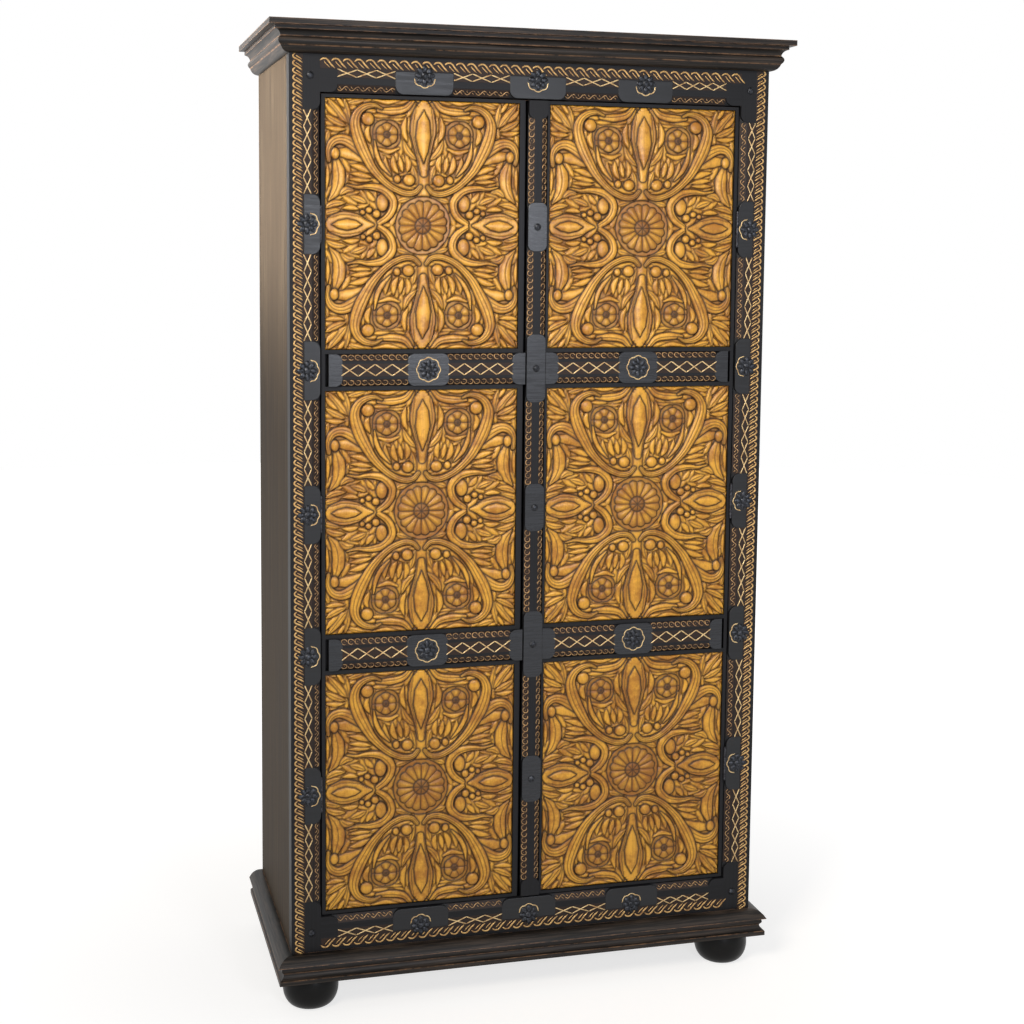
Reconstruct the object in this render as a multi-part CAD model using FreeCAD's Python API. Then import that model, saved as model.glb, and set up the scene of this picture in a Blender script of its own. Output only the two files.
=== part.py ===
import FreeCAD, Part

import math
import os

V = FreeCAD.Vector

# A tall two-door cupboard in dark stained wood: a joined face frame with stopped chamfers, two inset doors
# with carved panels, a moulded cornice and base, and turned bun feet. Front faces -Y, +Z is up, and the
# origin is at the bottom centre of the whole piece. All sizes are in millimetres.

# Carcass
BODY_WIDTH = 1080.0
BODY_DEPTH = 520.0
FACE_HEIGHT = 1946.0
SIDE_THICK = 22.0
TOP_THICK = 20.0
FLOOR_THICK = 20.0
FLOOR_HOUSING = 6.0
BACK_THICK = 12.0
BACK_REBATE = 10.0
BACK_BOARDS = 6
BOARD_GAP = 1.0

# Shelves on side cleats
SHELF_COUNT = 3
SHELF_THICK = 20.0
SHELF_SETBACK = 24.0
SHELF_PLAY = 1.0
CLEAT_THICK = 18.0
CLEAT_HEIGHT = 30.0

# Face frame
STILE_WIDTH = 65.0
FRAME_RAIL_HEIGHT = 78.0
FRAME_THICK = 38.0
FRAME_TENON_LENGTH = 36.0
FRAME_TENON_THICK = 12.0
TENON_SHOULDER = 12.0
TENON_PLAY = 0.2
TENON_END_GAP = 1.0
CHAMFER_WIDTH = 17.0
CHAMFER_DEPTH = 9.0
CARTOUCHE_HALF = 46.0
CORNER_PLAIN = 20.0

# Cornice, from its top down
CORNICE_REACH = 46.0
CORNICE_FILLET_HEIGHT = 12.0
CORNICE_STEP_REACH = 33.0
CORNICE_STEP_HEIGHT = 8.0
CORNICE_COVE_HEIGHT = 13.0
CORNICE_BEAD_REACH = 20.0
CORNICE_BEAD_HEIGHT = 18.0
CORNICE_OVOLO_HEIGHT = 15.0

# How far the moulded rounds stand off their chords, of the way to the corner
ROUND_FULLNESS_SHARE = 0.36

# Base moulding, from its top down
BASE_REACH = 33.0
BASE_OVOLO_HEIGHT = 18.0
BASE_BEAD_REACH = 20.0
BASE_BEAD_HEIGHT = 16.0
BASE_COVE_HEIGHT = 14.0
BASE_TOE_REACH = 30.0
BASE_FILLET_HEIGHT = 10.0
BACK_RAIL_THICK = 22.0

# Bun feet
FOOT_HEIGHT = 77.0
FOOT_RADIUS = 62.0
FOOT_SOLE_RADIUS = 34.0
FOOT_NECK_RADIUS = 47.0
FOOT_BELLY_HEIGHT = 42.0
FOOT_INSET = 82.0
FOOT_BACK_INSET = 66.0
BUN_FULLNESS_SHARE = 0.2
DOWEL_RADIUS = 10.0
DOWEL_LENGTH = 45.0
DOWEL_PLAY = 0.3
BLOCK_SIZE = 72.0
BLOCK_HEIGHT = 60.0

# Doors
DOOR_GAP = 3.0
MEETING_OFFSET = -20.0
MEETING_REBATE = 5.5
CENTRE_WIDTH = 68.0
CENTRE_OFFSET = -4.0
EDGE_LIP = 8.0
TOP_LIP = 7.0
BAR_LIP = 9.0
LIP_DEPTH = 6.0
SEAT_DEPTH = 20.0
DOOR_BACK_GAP = 0.5
PANEL_SEAT = 36.0
DOOR_TENON_LENGTH = 28.0
DOOR_TENON_THICK = 7.0
BAR_HEIGHT = 70.0
BAR_FRONT = 1.5
BAR_RECESS = 7.0
BAR_CHAMFER_WIDTH = 16.0
BAR_END_PLAIN = 14.0
BAR_CARTOUCHE_HALF = 30.0
STRIP_WIDTH = 43.0
STRIP_CHAMFER_WIDTH = 14.0
STRIP_CARTOUCHE_HALF = 39.0
STRIP_CROSSING_HALF = 61.0
STRIP_END_PLAIN = 25.0
FIT_PLAY = 0.4

# Carved panels
PANEL_FRONT = 2.0
PANEL_GROUND = 11.0
ROSE_RADIUS = 54.0
ROSE_DISH_RADIUS = 40.0
ROSE_BUTTON_RADIUS = 14.0
ROSE_RIM_DEPTH = 4.5
ROSE_DISH_DEPTH = 7.5
LEAF_LENGTH = 150.0
LEAF_WIDTH = 50.0
SIDE_LEAF_LENGTH = 104.0
LEAF_EDGE_GAP = 6.0
LEAF_STEP = 4.0
LEAF_MIDRIB_INSET = 10.0
BUD_RADIUS = 25.0
BUD_CROWN_RADIUS = 10.0
BUD_ACROSS_SHARE = 0.37
BUD_UP_SHARE = 0.69
SCROLL_WIDTH = 13.0
SCROLL_EYE_RADIUS = 15.0
SCROLL_EYE_CROWN_RADIUS = 8.0

# The scrolls keep their proportions: their unit is a panel's half width or, on a low panel, this share of
# its half height
SCROLL_UNIT_SHARE = 0.82

# The rounds of a panel's scrolls in its upper right quarter: the middle of each, across and up, and its
# radius, of the scrolls' unit, then the angles in degrees that it runs between
SCROLL_SHARES = (
    (0.126, 0.491, 0.157, -120, 10),
    (1.090, 0.208, 0.864, 118, 159),
    (0.570, 1.047, 0.122, -35, 130),
    (0.430, 0.210, 0.166, 75, 265),
    (0.840, 0.738, 0.122, 0, 165),
)

# The balls that the scrolls curl round, across and up, of the scrolls' unit
SCROLL_EYE_SHARES = ((0.112, 0.449), (0.570, 1.047), (0.411, 0.271), (0.840, 0.738))

# Turned and forged studs
ROSETTE_RADIUS = 18.0
ROSETTE_WAIST_RADIUS = 15.5
ROSETTE_PETALS = 8
ROSETTE_HEIGHT = 5.0
ROSETTE_CROWN_RADIUS = 10.0
ROSETTE_CROWN_WAIST = 8.0
ROSETTE_KNOB_RADIUS = 6.5
ROSETTE_KNOB_HEIGHT = 4.0
ROSETTE_INSET = 37.0
STUD_RADIUS = 7.5
STUD_HEIGHT = 5.0
STUD_INSET = 44.0

# Butt hinges
HINGE_HEIGHT = 76.0
HINGE_KNUCKLES = 5
KNUCKLE_RADIUS = 3.5
KNUCKLE_GAP = 0.4
HINGE_AXIS_DEPTH = 4.0
LEAF_PLATE_THICK = 2.0
LEAF_PLATE_WIDTH = 22.0
LEAF_PLATE_GAP = 1.1
PIN_RADIUS = 1.6
PIN_PLAY = 0.05
PIN_HEAD_RADIUS = 2.6
PIN_HEAD_HEIGHT = 2.0
BARREL_RELIEF = 0.4

# Door stop and magnetic catches
STOP_DROP = 12.0
STOP_RISE = 20.0
STOP_THICK = 18.0
CATCH_WIDTH = 40.0
CATCH_HEIGHT = 14.0
CATCH_DEPTH = 16.0
CATCH_FROM_STILE = 25.0
STRIKE_WIDTH = 30.0
STRIKE_HEIGHT = 11.0
STRIKE_THICK = 1.5

# How far cutting tools run past what they cut
OVERRUN = 5.0

# Places worked out from the sizes above
CORNICE_CAP_HEIGHT = CORNICE_FILLET_HEIGHT + CORNICE_STEP_HEIGHT
CORNICE_HEIGHT = CORNICE_CAP_HEIGHT + CORNICE_COVE_HEIGHT + CORNICE_BEAD_HEIGHT + CORNICE_OVOLO_HEIGHT
BASE_HEIGHT = BASE_OVOLO_HEIGHT + BASE_BEAD_HEIGHT + BASE_COVE_HEIGHT + BASE_FILLET_HEIGHT
HALF_WIDTH = BODY_WIDTH / 2
Y_FACE = CORNICE_REACH - (BODY_DEPTH + CORNICE_REACH) / 2
Y_BACK = Y_FACE + BODY_DEPTH
Z_BASE = FOOT_HEIGHT
Z_FACE_LOW = Z_BASE + BASE_HEIGHT
Z_FACE_HIGH = Z_FACE_LOW + FACE_HEIGHT
Z_TOP = Z_FACE_HIGH + CORNICE_HEIGHT
Z_CEILING = Z_TOP - TOP_THICK
OPEN_HALF = HALF_WIDTH - STILE_WIDTH
Z_OPEN_LOW = Z_FACE_LOW + FRAME_RAIL_HEIGHT
Z_OPEN_HIGH = Z_FACE_HIGH - FRAME_RAIL_HEIGHT
Z_DOOR_LOW = Z_OPEN_LOW + DOOR_GAP
Z_DOOR_HIGH = Z_OPEN_HIGH - DOOR_GAP
CENTRE_HALF = CENTRE_WIDTH / 2
PANEL_OUTER = OPEN_HALF - DOOR_GAP - EDGE_LIP
BAR_SPACE = BAR_HEIGHT + 2 * BAR_LIP
PANEL_HEIGHT = (Z_DOOR_HIGH - Z_DOOR_LOW - 2 * TOP_LIP - 2 * BAR_SPACE) / 3
PANEL_LOWS = [Z_DOOR_LOW + TOP_LIP + row * (PANEL_HEIGHT + BAR_SPACE) for row in range(3)]
PANEL_CENTRES = [low + PANEL_HEIGHT / 2 for low in PANEL_LOWS]
BAR_LOWS = [low + PANEL_HEIGHT + BAR_LIP for low in PANEL_LOWS[:2]]
BAR_CENTRES = [low + BAR_HEIGHT / 2 for low in BAR_LOWS]
DOOR_BACK_DEPTH = FRAME_THICK - DOOR_BACK_GAP
HINGE_X = OPEN_HALF - DOOR_GAP / 2
INNER_HALF = HALF_WIDTH - SIDE_THICK


def depth(low, high):
    """A pair of Y limits, counted back from the front of the face frame."""
    return (Y_FACE + low, Y_FACE + high)


def span(first, second):
    """A pair of limits in rising order."""
    return (min(first, second), max(first, second))


def block(x, y, z):
    """A box between pairs of limits."""
    return Part.makeBox(x[1] - x[0], y[1] - y[0], z[1] - z[0], V(x[0], y[0], z[0]))


def mirrored(shape):
    """The same shape on the other side of the middle plane."""
    return shape.mirror(V(), V(1, 0, 0))


def outline_face(edges):
    """A flat face inside a closed chain of edges."""
    return Part.Face(Part.Wire(edges))


def line(first, second):
    """A straight edge."""
    return Part.LineSegment(first, second).toShape()


def arc(first, middle, last):
    """A round edge through three points."""
    return Part.Arc(first, middle, last).toShape()


def quarter(first, last, centre):
    """A round edge from first to last about a centre, under half a circle."""
    radius = (first - centre).Length
    bisector = (first - centre) + (last - centre)
    return arc(first, centre + bisector * (radius / bisector.Length), last)


def chamfer_tool(along, start, end, edge, inward, front, width, depth_cut):
    """The wedge taken off one front edge of a member, with rounded stops at both ends.

    along is the unit direction of the edge, inward the unit direction across the member from that edge.
    start and end are places along it, edge the place across it, and front the Y of the member's face.
    """

    def point(place, across, back):
        return along * place + inward * across + V(0, front + back, 0)

    offset = inward * edge.dot(inward)
    low, high = point(start, 0, -OVERRUN), point(end, 0, -OVERRUN)
    low_in = point(start + width, width, -OVERRUN)
    high_in = point(end - width, width, -OVERRUN)
    plan = [
        line(high, low),
        quarter(low, low_in, point(start, width, -OVERRUN)),
        line(low_in, high_in),
        quarter(high_in, high, point(end, width, -OVERRUN)),
    ]
    strip = outline_face(plan).extrude(V(0, OVERRUN + depth_cut, 0))
    slope = depth_cut / width
    corners = [
        point(start, -OVERRUN, -OVERRUN),
        point(start, width + OVERRUN, -OVERRUN),
        point(start, width + OVERRUN, -OVERRUN * slope),
        point(start, -OVERRUN, depth_cut + OVERRUN * slope),
    ]
    wedge = Part.Face(Part.makePolygon(corners + corners[:1])).extrude(along * (end - start))
    tool = strip.common(wedge)
    tool.translate(offset)
    return tool


def between(stops, low, high):
    """The clear stretches from low to high that plain stretches, given as centre and half length, leave."""
    runs = []
    place = low
    for centre, half in sorted(stops):
        runs.append((place, centre - half))
        place = centre + half
    runs.append((place, high))
    return runs


def moulding_face(points):
    """The closed section of a moulding from its corners, each a reach outward and a height.

    A third value says that a round leads to that corner: True for a hollow one, False for a full one.
    """
    edges = []
    for first, second in zip(points, points[1:] + points[:1]):
        start, stop = V(first[0], 0, first[1]), V(second[0], 0, second[1])
        if len(second) == 3:
            edges.append(moulding_round(start, stop, second[2]))
        else:
            edges.append(line(start, stop))
    return outline_face(edges)


def moulding_round(start, stop, hollow):
    """A round from start to stop: hollow ones curve towards the inner corner, full ones away from it."""
    inner = V(min(start.x, stop.x), 0, min(start.z, stop.z))
    if (stop.x - start.x) * (stop.z - start.z) < 0:
        corner = inner if hollow else V(max(start.x, stop.x), 0, max(start.z, stop.z))
    else:
        corner = V(min(start.x, stop.x), 0, max(start.z, stop.z))
        if not hollow:
            corner = V(max(start.x, stop.x), 0, min(start.z, stop.z))
    chord = (start + stop) * 0.5
    return arc(start, chord + (corner - chord) * ROUND_FULLNESS_SHARE, stop)


def cornice_section():
    """The cornice's section, as reach and height above its own bottom."""
    bead_low = CORNICE_OVOLO_HEIGHT
    bead_high = bead_low + CORNICE_BEAD_HEIGHT
    cove_high = bead_high + CORNICE_COVE_HEIGHT
    step_high = cove_high + CORNICE_STEP_HEIGHT
    return [
        (0, 0),
        (CORNICE_BEAD_REACH, bead_low, False),
        (CORNICE_BEAD_REACH, bead_high),
        (CORNICE_STEP_REACH, cove_high, True),
        (CORNICE_STEP_REACH, step_high),
        (CORNICE_REACH, step_high),
        (CORNICE_REACH, CORNICE_HEIGHT),
        (0, CORNICE_HEIGHT),
    ]


def base_section():
    """The base moulding's section, as reach and height above its own bottom."""
    cove_low = BASE_FILLET_HEIGHT
    bead_low = cove_low + BASE_COVE_HEIGHT
    bead_high = bead_low + BASE_BEAD_HEIGHT
    return [
        (0, 0),
        (BASE_REACH, 0),
        (BASE_REACH, cove_low),
        (BASE_TOE_REACH, cove_low),
        (BASE_BEAD_REACH, bead_low, True),
        (BASE_BEAD_REACH, bead_high),
        (0, BASE_HEIGHT, False),
    ]


def mitred_mouldings(section, reach, z_low):
    """Front, left and right lengths of a moulding round the carcass, mitred at the two front corners."""
    height = z_low + OVERRUN + CORNICE_HEIGHT + BASE_HEIGHT
    face = moulding_face(section)
    front = face.copy()
    front.rotate(V(), V(0, 0, 1), -90)
    front.translate(V(-HALF_WIDTH - reach, Y_FACE, z_low))
    front = front.extrude(V(2 * (HALF_WIDTH + reach), 0, 0))
    right = face.copy()
    right.translate(V(HALF_WIDTH, Y_FACE - reach, z_low))
    right = right.extrude(V(0, BODY_DEPTH + reach, 0))
    corner = V(HALF_WIDTH, Y_FACE, 0)
    far = reach + OVERRUN
    outside_front = [corner, corner + V(far, -far, 0), corner + V(far, 0, 0)]
    outside_side = [corner, corner + V(far, -far, 0), corner + V(0, -far, 0)]
    end_cut = Part.Face(Part.makePolygon(outside_front + [corner])).extrude(V(0, 0, height))
    side_cut = Part.Face(Part.makePolygon(outside_side + [corner])).extrude(V(0, 0, height))
    front = front.cut(end_cut).cut(mirrored(end_cut))
    right = right.cut(side_cut)
    return front, mirrored(right), right


def left_side_board():
    """The left side, rebated for the back boards and housed for the floor."""
    board = block((-HALF_WIDTH, -INNER_HALF), (Y_FACE + FRAME_THICK, Y_BACK), (Z_BASE, Z_CEILING))
    rebate = block(
        (-INNER_HALF - BACK_REBATE, -INNER_HALF + OVERRUN),
        (Y_BACK - BACK_THICK, Y_BACK + OVERRUN),
        (Z_BASE - OVERRUN, Z_CEILING + OVERRUN),
    )
    housing = block(
        (-INNER_HALF - FLOOR_HOUSING, -INNER_HALF + OVERRUN),
        (Y_FACE + FRAME_THICK - OVERRUN, Y_BACK - BACK_THICK),
        (Z_OPEN_LOW - FLOOR_THICK, Z_OPEN_LOW),
    )
    return board.cut(rebate).cut(housing)


def floor_board():
    """The cupboard's floor, level with the bottom of the door opening."""
    half = INNER_HALF + FLOOR_HOUSING
    back = Y_BACK - BACK_THICK
    return block((-half, half), (Y_FACE + FRAME_THICK, back), (Z_OPEN_LOW - FLOOR_THICK, Z_OPEN_LOW))


def top_board():
    """The top, on the sides, the back boards and the face frame."""
    return block((-HALF_WIDTH, HALF_WIDTH), (Y_FACE, Y_BACK), (Z_CEILING, Z_TOP))


def back_boards():
    """Upright back boards, side by side in the rebates."""
    half = INNER_HALF + BACK_REBATE
    width = (2 * half - (BACK_BOARDS - 1) * BOARD_GAP) / BACK_BOARDS
    boards = []
    for index in range(BACK_BOARDS):
        low = -half + index * (width + BOARD_GAP)
        boards.append(block((low, low + width), (Y_BACK - BACK_THICK, Y_BACK), (Z_BASE, Z_CEILING)))
    return Part.makeCompound(boards)


def shelf_heights():
    """The top of each shelf, evenly spaced between floor and top."""
    step = (Z_CEILING - Z_OPEN_LOW) / (SHELF_COUNT + 1)
    return [Z_OPEN_LOW + step * (index + 1) for index in range(SHELF_COUNT)]


def shelf(top):
    """One shelf board."""
    half = INNER_HALF - SHELF_PLAY
    front, back = Y_FACE + FRAME_THICK + SHELF_SETBACK, Y_BACK - BACK_THICK
    return block((-half, half), (front, back), (top - SHELF_THICK, top))


def shelf_cleats():
    """A batten on each side under every shelf."""
    cleats = []
    for top in shelf_heights():
        high = top - SHELF_THICK
        left = block(
            (-INNER_HALF, -INNER_HALF + CLEAT_THICK),
            (Y_FACE + FRAME_THICK + SHELF_SETBACK, Y_BACK - BACK_THICK),
            (high - CLEAT_HEIGHT, high),
        )
        cleats += [left, mirrored(left)]
    return Part.makeCompound(cleats)


def tenon_limits(low, high):
    """The height of a tenon on a rail from low to high."""
    return (low + TENON_SHOULDER, high - TENON_SHOULDER)


def frame_rail_limits():
    """The heights of the face frame's bottom and top rails."""
    return [(Z_BASE, Z_OPEN_LOW), (Z_OPEN_HIGH, Z_CEILING)]


def frame_tenon_depth(play):
    """The Y limits of a face-frame tenon or, with play, of its mortise."""
    middle = FRAME_THICK / 2
    half = FRAME_TENON_THICK / 2 + play
    return depth(middle - half, middle + half)


def stile_stops():
    """Plain stretches of the stiles: one at each panel's and each bar's middle."""
    return [(centre, CARTOUCHE_HALF) for centre in PANEL_CENTRES + BAR_CENTRES]


def left_frame_stile():
    """The face frame's left stile, with mortises, stopped chamfers and hinge beds."""
    stile = block((-HALF_WIDTH, -OPEN_HALF), depth(0, FRAME_THICK), (Z_BASE, Z_CEILING))
    for low, high in frame_rail_limits():
        tenon_low, tenon_high = tenon_limits(low, high)
        mortise = block(
            (-OPEN_HALF - FRAME_TENON_LENGTH - TENON_END_GAP, -OPEN_HALF + OVERRUN),
            frame_tenon_depth(TENON_PLAY),
            (tenon_low - TENON_PLAY, tenon_high + TENON_PLAY),
        )
        stile = stile.cut(mortise)
    for low, high in between(stile_stops(), Z_OPEN_LOW + CORNER_PLAIN, Z_OPEN_HIGH - CORNER_PLAIN):
        tool = chamfer_tool(
            V(0, 0, 1), low, high, V(-OPEN_HALF, 0, 0), V(-1, 0, 0), Y_FACE, CHAMFER_WIDTH, CHAMFER_DEPTH
        )
        stile = stile.cut(tool)
    for centre in PANEL_CENTRES:
        stile = stile.cut(hinge_bed(-1, centre, -OPEN_HALF, -1))
    return stile


def frame_rail(low, high, chamfer_edge, inward):
    """A face-frame rail between the stiles, tenoned at both ends, chamfered along the door opening."""
    rail = block((-OPEN_HALF, OPEN_HALF), depth(0, FRAME_THICK), (low, high))
    reach = OPEN_HALF + FRAME_TENON_LENGTH
    rail = rail.fuse(block((-reach, reach), frame_tenon_depth(0), tenon_limits(low, high))).removeSplitter()
    stops = [(place, CARTOUCHE_HALF) for place in rail_stud_places()]
    for start, end in between(stops, -OPEN_HALF + CORNER_PLAIN, OPEN_HALF - CORNER_PLAIN):
        tool = chamfer_tool(
            V(1, 0, 0), start, end, V(0, 0, chamfer_edge), inward, Y_FACE, CHAMFER_WIDTH, CHAMFER_DEPTH
        )
        rail = rail.cut(tool)
    return rail


def foot():
    """A turned bun foot with its dowel, standing on the origin."""
    sole, belly = V(FOOT_SOLE_RADIUS, 0, 0), V(FOOT_RADIUS, 0, FOOT_BELLY_HEIGHT)
    neck = V(FOOT_NECK_RADIUS, 0, FOOT_HEIGHT)
    swell = V(FOOT_RADIUS - FOOT_SOLE_RADIUS, 0, -FOOT_BELLY_HEIGHT) * BUN_FULLNESS_SHARE
    under = (sole + belly) * 0.5 + swell
    over = (belly + neck) * 0.5 + V(
        FOOT_RADIUS - FOOT_NECK_RADIUS, 0, FOOT_HEIGHT - FOOT_BELLY_HEIGHT
    ) * BUN_FULLNESS_SHARE
    tip = FOOT_HEIGHT + DOWEL_LENGTH
    section = [
        line(V(), sole),
        arc(sole, under, belly),
        arc(belly, over, neck),
        line(neck, V(DOWEL_RADIUS, 0, FOOT_HEIGHT)),
        line(V(DOWEL_RADIUS, 0, FOOT_HEIGHT), V(DOWEL_RADIUS, 0, tip)),
        line(V(DOWEL_RADIUS, 0, tip), V(0, 0, tip)),
        line(V(0, 0, tip), V()),
    ]
    return outline_face(section).revolve(V(), V(0, 0, 1), 360)


def foot_places():
    """The X and Y of each foot, by name."""
    across = HALF_WIDTH + BASE_REACH - FOOT_INSET
    front, back = Y_FACE - BASE_REACH + FOOT_INSET, Y_BACK - FOOT_BACK_INSET
    return {
        "foot_front_left": (-across, front),
        "foot_front_right": (across, front),
        "foot_back_left": (-across, back),
        "foot_back_right": (across, back),
    }


def foot_blocks():
    """Corner blocks inside the base, bored for the feet's dowels."""
    blocks = []
    for x, y in foot_places().values():
        side = math.copysign(1, x)
        back_edge = Y_FACE + FRAME_THICK + BLOCK_SIZE if y < 0 else Y_BACK - BACK_THICK
        corner = block(
            span(side * INNER_HALF, side * (INNER_HALF - BLOCK_SIZE)),
            (back_edge - BLOCK_SIZE, back_edge),
            (Z_BASE, Z_BASE + BLOCK_HEIGHT),
        )
        bore = Part.makeCylinder(
            DOWEL_RADIUS + DOWEL_PLAY, DOWEL_LENGTH + DOWEL_PLAY + OVERRUN, V(x, y, Z_BASE - OVERRUN)
        )
        blocks.append(corner.cut(bore))
    return Part.makeCompound(blocks)


def base_back_rail():
    """A rail across the back of the base, between the back corner blocks."""
    half = INNER_HALF - BLOCK_SIZE
    back = Y_BACK - BACK_THICK
    return block((-half, half), (back - BACK_RAIL_THICK, back), (Z_BASE, Z_BASE + BLOCK_HEIGHT))


def rosette(centre):
    """A petalled stud on a face whose Y is that of its centre."""

    def ring(outer, waist, back):
        points = []
        for index in range(2 * ROSETTE_PETALS):
            radius = outer if index % 2 == 0 else waist
            angle = math.pi * index / ROSETTE_PETALS
            points.append(centre + V(radius * math.cos(angle), -back, radius * math.sin(angle)))
        return Part.makePolygon(points + points[:1])

    petals = Part.makeLoft(
        [
            ring(ROSETTE_RADIUS, ROSETTE_WAIST_RADIUS, 0),
            ring(ROSETTE_CROWN_RADIUS, ROSETTE_CROWN_WAIST, ROSETTE_HEIGHT),
        ],
        True,
        True,
    )
    return petals.fuse(dome(centre + V(0, -ROSETTE_HEIGHT, 0), ROSETTE_KNOB_RADIUS, ROSETTE_KNOB_HEIGHT))


def dome(centre, radius, height):
    """A low round stud head, a cap of a ball, on a face whose Y is that of its centre."""
    ball_radius = (radius**2 + height**2) / (2 * height)
    ball = Part.makeSphere(ball_radius, centre + V(0, ball_radius - height, 0))
    reach = radius + OVERRUN
    around = block(
        (centre.x - reach, centre.x + reach),
        (centre.y - height - OVERRUN, centre.y),
        (centre.z - reach, centre.z + reach),
    )
    return ball.common(around)


def frame_studs():
    """Rosettes along the face frame and plain studs at its corners."""
    heads = []
    across = HALF_WIDTH - ROSETTE_INSET
    for height in PANEL_CENTRES + BAR_CENTRES:
        heads += [rosette(V(side * across, Y_FACE, height)) for side in (-1, 1)]
    for height in (Z_FACE_LOW + ROSETTE_INSET, Z_FACE_HIGH - ROSETTE_INSET):
        heads += [rosette(V(place, Y_FACE, height)) for place in rail_stud_places()]
    for height in (Z_FACE_LOW + STUD_INSET, Z_FACE_HIGH - STUD_INSET):
        corner = HALF_WIDTH - STUD_INSET
        heads += [dome(V(side * corner, Y_FACE, height), STUD_RADIUS, STUD_HEIGHT) for side in (-1, 1)]
    return Part.makeCompound(heads)


def hinge_axis(side):
    """A point on a door's hinge axis, at height zero."""
    return V(side * HINGE_X, Y_FACE + HINGE_AXIS_DEPTH, 0)


def plate_depth():
    """The Y limits of a hinge leaf's flat plate."""
    start = HINGE_AXIS_DEPTH + KNUCKLE_RADIUS + LEAF_PLATE_GAP
    return depth(start, start + LEAF_PLATE_WIDTH)


def hinge_bed(side, centre, face_x, into):
    """What is cut from a stile or a door edge for a hinge: the plate's bed and room for the barrel.

    face_x is the wood's edge face, and into is +1 or -1, the way from that face into the wood.
    """
    low, high = centre - HINGE_HEIGHT / 2, centre + HINGE_HEIGHT / 2
    near = HINGE_AXIS_DEPTH
    bed = block(
        span(face_x - into * OVERRUN, face_x + into * LEAF_PLATE_THICK),
        (Y_FACE + near, plate_depth()[1]),
        (low, high),
    )
    room = PIN_HEAD_HEIGHT + BARREL_RELIEF
    relief = Part.makeCylinder(
        KNUCKLE_RADIUS + BARREL_RELIEF, high - low + 2 * room, hinge_axis(side) + V(0, 0, low - room)
    )
    return bed.fuse(relief)


def hinge_leaf(side, centre, face_x, into, first_knuckle):
    """One hinge leaf: a plate let into the wood, and every other knuckle of the barrel."""
    low = centre - HINGE_HEIGHT / 2
    leaf_x = span(face_x, face_x + into * LEAF_PLATE_THICK)
    plate_y = plate_depth()
    leaf = block(leaf_x, plate_y, (low, low + HINGE_HEIGHT))
    pitch = HINGE_HEIGHT / HINGE_KNUCKLES
    axis = hinge_axis(side)
    for index in range(first_knuckle, HINGE_KNUCKLES, 2):
        z_low = low + index * pitch + KNUCKLE_GAP / 2
        height = pitch - KNUCKLE_GAP
        barrel = Part.makeCylinder(KNUCKLE_RADIUS, height, axis + V(0, 0, z_low))
        tab = block(leaf_x, (axis.y, plate_y[0] + LEAF_PLATE_GAP), (z_low, z_low + height))
        leaf = leaf.fuse(barrel).fuse(tab)
    bore = Part.makeCylinder(PIN_RADIUS + PIN_PLAY, HINGE_HEIGHT + 2 * OVERRUN, axis + V(0, 0, low - OVERRUN))
    return leaf.cut(bore).removeSplitter()


def hinge_pin(side, centre):
    """A hinge pin with a small head at each end."""
    low = centre - HINGE_HEIGHT / 2
    foot_point = hinge_axis(side) + V(0, 0, low)
    pin = Part.makeCylinder(PIN_RADIUS, HINGE_HEIGHT, foot_point)
    lower = Part.makeCylinder(PIN_HEAD_RADIUS, PIN_HEAD_HEIGHT, foot_point - V(0, 0, PIN_HEAD_HEIGHT))
    upper = Part.makeCylinder(PIN_HEAD_RADIUS, PIN_HEAD_HEIGHT, foot_point + V(0, 0, HINGE_HEIGHT))
    return pin.fuse(lower).fuse(upper)


def frame_hinge_leaves():
    """The leaves of all hinges that are fixed to the face frame."""
    leaves = []
    for side in (-1, 1):
        leaves += [hinge_leaf(side, centre, side * OPEN_HALF, side, 0) for centre in PANEL_CENTRES]
    return Part.makeCompound(leaves)


def hinge_pins():
    """The pins of all hinges."""
    return Part.makeCompound([hinge_pin(side, centre) for side in (-1, 1) for centre in PANEL_CENTRES])


def door_stop():
    """A strip behind the top rail that both doors close against."""
    return block(
        (-OPEN_HALF, OPEN_HALF),
        depth(FRAME_THICK, FRAME_THICK + STOP_THICK),
        (Z_OPEN_HIGH - STOP_DROP, Z_OPEN_HIGH + STOP_RISE),
    )


def catch_place(side):
    """The middle of a door's catch, across the cupboard."""
    return door_edges(side)[2] + side * (PANEL_SEAT + CATCH_FROM_STILE)


def catch_magnets():
    """A magnetic catch under the door stop for each door."""
    catches = []
    high = Z_OPEN_HIGH - STOP_DROP
    for side in (-1, 1):
        middle = catch_place(side)
        catches.append(
            block(
                (middle - CATCH_WIDTH / 2, middle + CATCH_WIDTH / 2),
                depth(FRAME_THICK, FRAME_THICK + CATCH_DEPTH),
                (high - CATCH_HEIGHT, high),
            )
        )
    return Part.makeCompound(catches)


def strike(side):
    """The steel plate, let into the back of a door's top rail, that meets the catch."""
    middle = catch_place(side)
    height = Z_OPEN_HIGH - STOP_DROP - CATCH_HEIGHT / 2
    return block(
        (middle - STRIKE_WIDTH / 2, middle + STRIKE_WIDTH / 2),
        depth(DOOR_BACK_DEPTH - STRIKE_THICK, DOOR_BACK_DEPTH),
        (height - STRIKE_HEIGHT / 2, height + STRIKE_HEIGHT / 2),
    )


def door_edges(side):
    """X of a door's hinge edge, its panels' outer and inner edges and its meeting edge."""
    hinge_edge = side * (OPEN_HALF - DOOR_GAP)
    meeting_edge = MEETING_OFFSET + side * DOOR_GAP / 2
    return hinge_edge, side * PANEL_OUTER, CENTRE_OFFSET + side * CENTRE_HALF, meeting_edge


def panel_middle(side):
    """X of the middle of a door's panels."""
    _, outer, inner, _ = door_edges(side)
    return (outer + inner) / 2


def rail_stud_places():
    """X of the face-frame rails' rosettes: over the middle of each door's panels and between the doors."""
    return [panel_middle(-1), 0, panel_middle(1)]


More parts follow.
